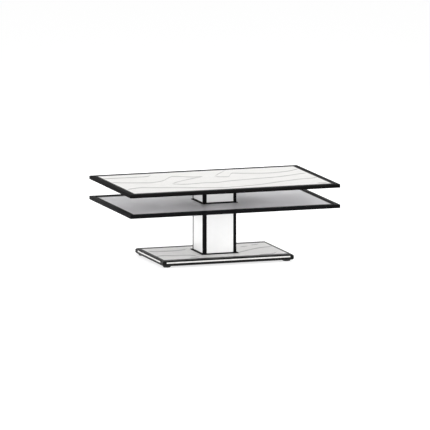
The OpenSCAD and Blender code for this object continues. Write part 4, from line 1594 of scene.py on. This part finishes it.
@dataclass
class Studio:
    """A white room with a pale floor, soft lamps and a long lens.

    The ambient is the room's strength as a light. The floor's tones are those that the light
    and the eye meet, and its glow is what the eye gets beside the matt part.
    """

    azimuth: float = -18.58
    elevation: float = 9.07
    width: float = 2.2457
    lens: float = 900.0
    sensor: float = 36.0
    reach: float = 400.0
    aim: Triple = (0.0, 0.0, 0.2274)
    shift_right: float = 0.0029
    ambient: float = 0.55
    floor_radius: float = 90.0
    floor_steps: int = 24
    floor_lit: float = 0.92
    floor_seen: float = 0.5
    floor_glow: float = 0.7
    lamp_aim: Triple = (0.0, 0.0, 0.25)

    def build(self) -> None:
        """Builds the room, the floor, the lamps and the camera."""
        self.room()
        self.floor()
        for lamp in LAMPS:
            self.lamp(lamp)
        self.camera()

    def seen(self, wiring: Wiring) -> Socket:
        """Is 1 for what the camera, a mirror or clear glass looks at, and 0 for plain light.

        Args:
            wiring: The tree that asks.

        Returns:
            The socket of that number.
        """
        path = wiring.node("ShaderNodeLightPath").outputs
        mirrored = wiring.math("MAXIMUM", path["Is Glossy Ray"], path["Is Transmission Ray"])
        return wiring.math("MAXIMUM", path["Is Camera Ray"], mirrored)

    def room(self) -> None:
        """Makes the world white to look at and dimmer as a light."""
        world = bpy.data.worlds.new("white_room")
        bpy.context.scene.world = world
        world.use_nodes = True
        wiring = Wiring(world.node_tree)
        sky = world.node_tree.nodes["Background"].inputs
        sky["Color"].default_value = (1.0, 1.0, 1.0, 1.0)
        wiring.put(sky["Strength"], wiring.ramp(self.seen(wiring), 0.0, 1.0, self.ambient, 1.0))

    def floor(self) -> None:
        """Lays a round floor that looks white and keeps a soft shadow.

        What is seen of it is part matt white, which takes the shadow, and part a plain glow.
        From below it is clear, so that the table's underside can be looked at.
        """
        ring = outline(*[self.floor_radius] * 3, self.floor_steps)
        points = np.column_stack([ring, np.zeros(len(ring))])
        mesh = bpy.data.meshes.new("floor")
        mesh.from_pydata(points.tolist(), [], [list(range(len(points)))])
        material = bpy.data.materials.new("floor_white")
        material.use_nodes = True
        wiring = Wiring(material.node_tree)
        shader = material.node_tree.nodes["Principled BSDF"]
        shader.inputs["Roughness"].default_value = 0.9
        shader.inputs["Specular IOR Level"].default_value = 0.0
        shader.inputs["Emission Color"].default_value = (1.0, 1.0, 1.0, 1.0)
        seen = self.seen(wiring)
        tone = wiring.ramp(seen, 0.0, 1.0, self.floor_lit, self.floor_seen)
        colour = wiring.node("ShaderNodeCombineColor", {0: tone, 1: tone, 2: tone}).outputs[0]
        wiring.put(shader.inputs["Base Color"], colour)
        wiring.put(shader.inputs["Emission Strength"], wiring.times(seen, self.floor_glow))
        below = wiring.node("ShaderNodeNewGeometry").outputs["Backfacing"]
        clear = wiring.node("ShaderNodeBsdfTransparent").outputs[0]
        either = wiring.node("ShaderNodeMixShader", {0: below, 1: shader.outputs[0], 2: clear})
        surface = material.node_tree.nodes["Material Output"].inputs["Surface"]
        wiring.put(surface, either.outputs[0])
        mesh.materials.append(material)
        hang("floor", mesh)

    def lamp(self, lamp: Lamp) -> None:
        """Hangs a lamp that looks at the table and isn't seen or mirrored itself.

        Args:
            lamp: The lamp.
        """
        light = bpy.data.lights.new(lamp.name, "AREA")
        light.size = lamp.size
        light.energy = lamp.power
        hung = hang(lamp.name, light)
        hung.location = lamp.place
        towards = Vector(self.lamp_aim) - Vector(lamp.place)
        hung.rotation_euler = towards.to_track_quat("-Z", "Y").to_euler()
        hung.visible_camera = False
        hung.visible_glossy = False

    def camera(self) -> None:
        """Sets a long lens that looks down a little from the front left."""
        turn, rise = math.radians(self.azimuth), math.radians(self.elevation)
        back = Vector((math.sin(turn) * math.cos(rise), -math.cos(turn) * math.cos(rise), 0.0))
        back.z = math.sin(rise)
        right = Vector((math.cos(turn), math.sin(turn), 0.0))
        distance = self.width * self.lens / self.sensor
        lens = bpy.data.cameras.new("camera")
        lens.lens, lens.sensor_width, lens.clip_end = self.lens, self.sensor, self.reach
        camera = hang("camera", lens)
        camera.location = Vector(self.aim) + right * self.shift_right + back * distance
        camera.rotation_euler = (-back).to_track_quat("-Z", "Y").to_euler()
        bpy.context.scene.camera = camera


def main() -> None:
    """Builds the studio and every sub-assembly in order, and reports each piece."""
    logging.basicConfig(level=logging.INFO, format="%(name)s %(message)s")
    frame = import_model()
    bpy.context.scene.view_settings.view_transform = "Standard"
    Studio().build()
    for kind in (Base, Column, Shelf, Lift, Top, Bearings, Linkage, Valve):
        assembly = kind(frame["nodes"])
        assembly.build()
        LOG.info("%s: %d pieces", kind.__name__, len(assembly.made))


if __name__ == "__main__":
    main()
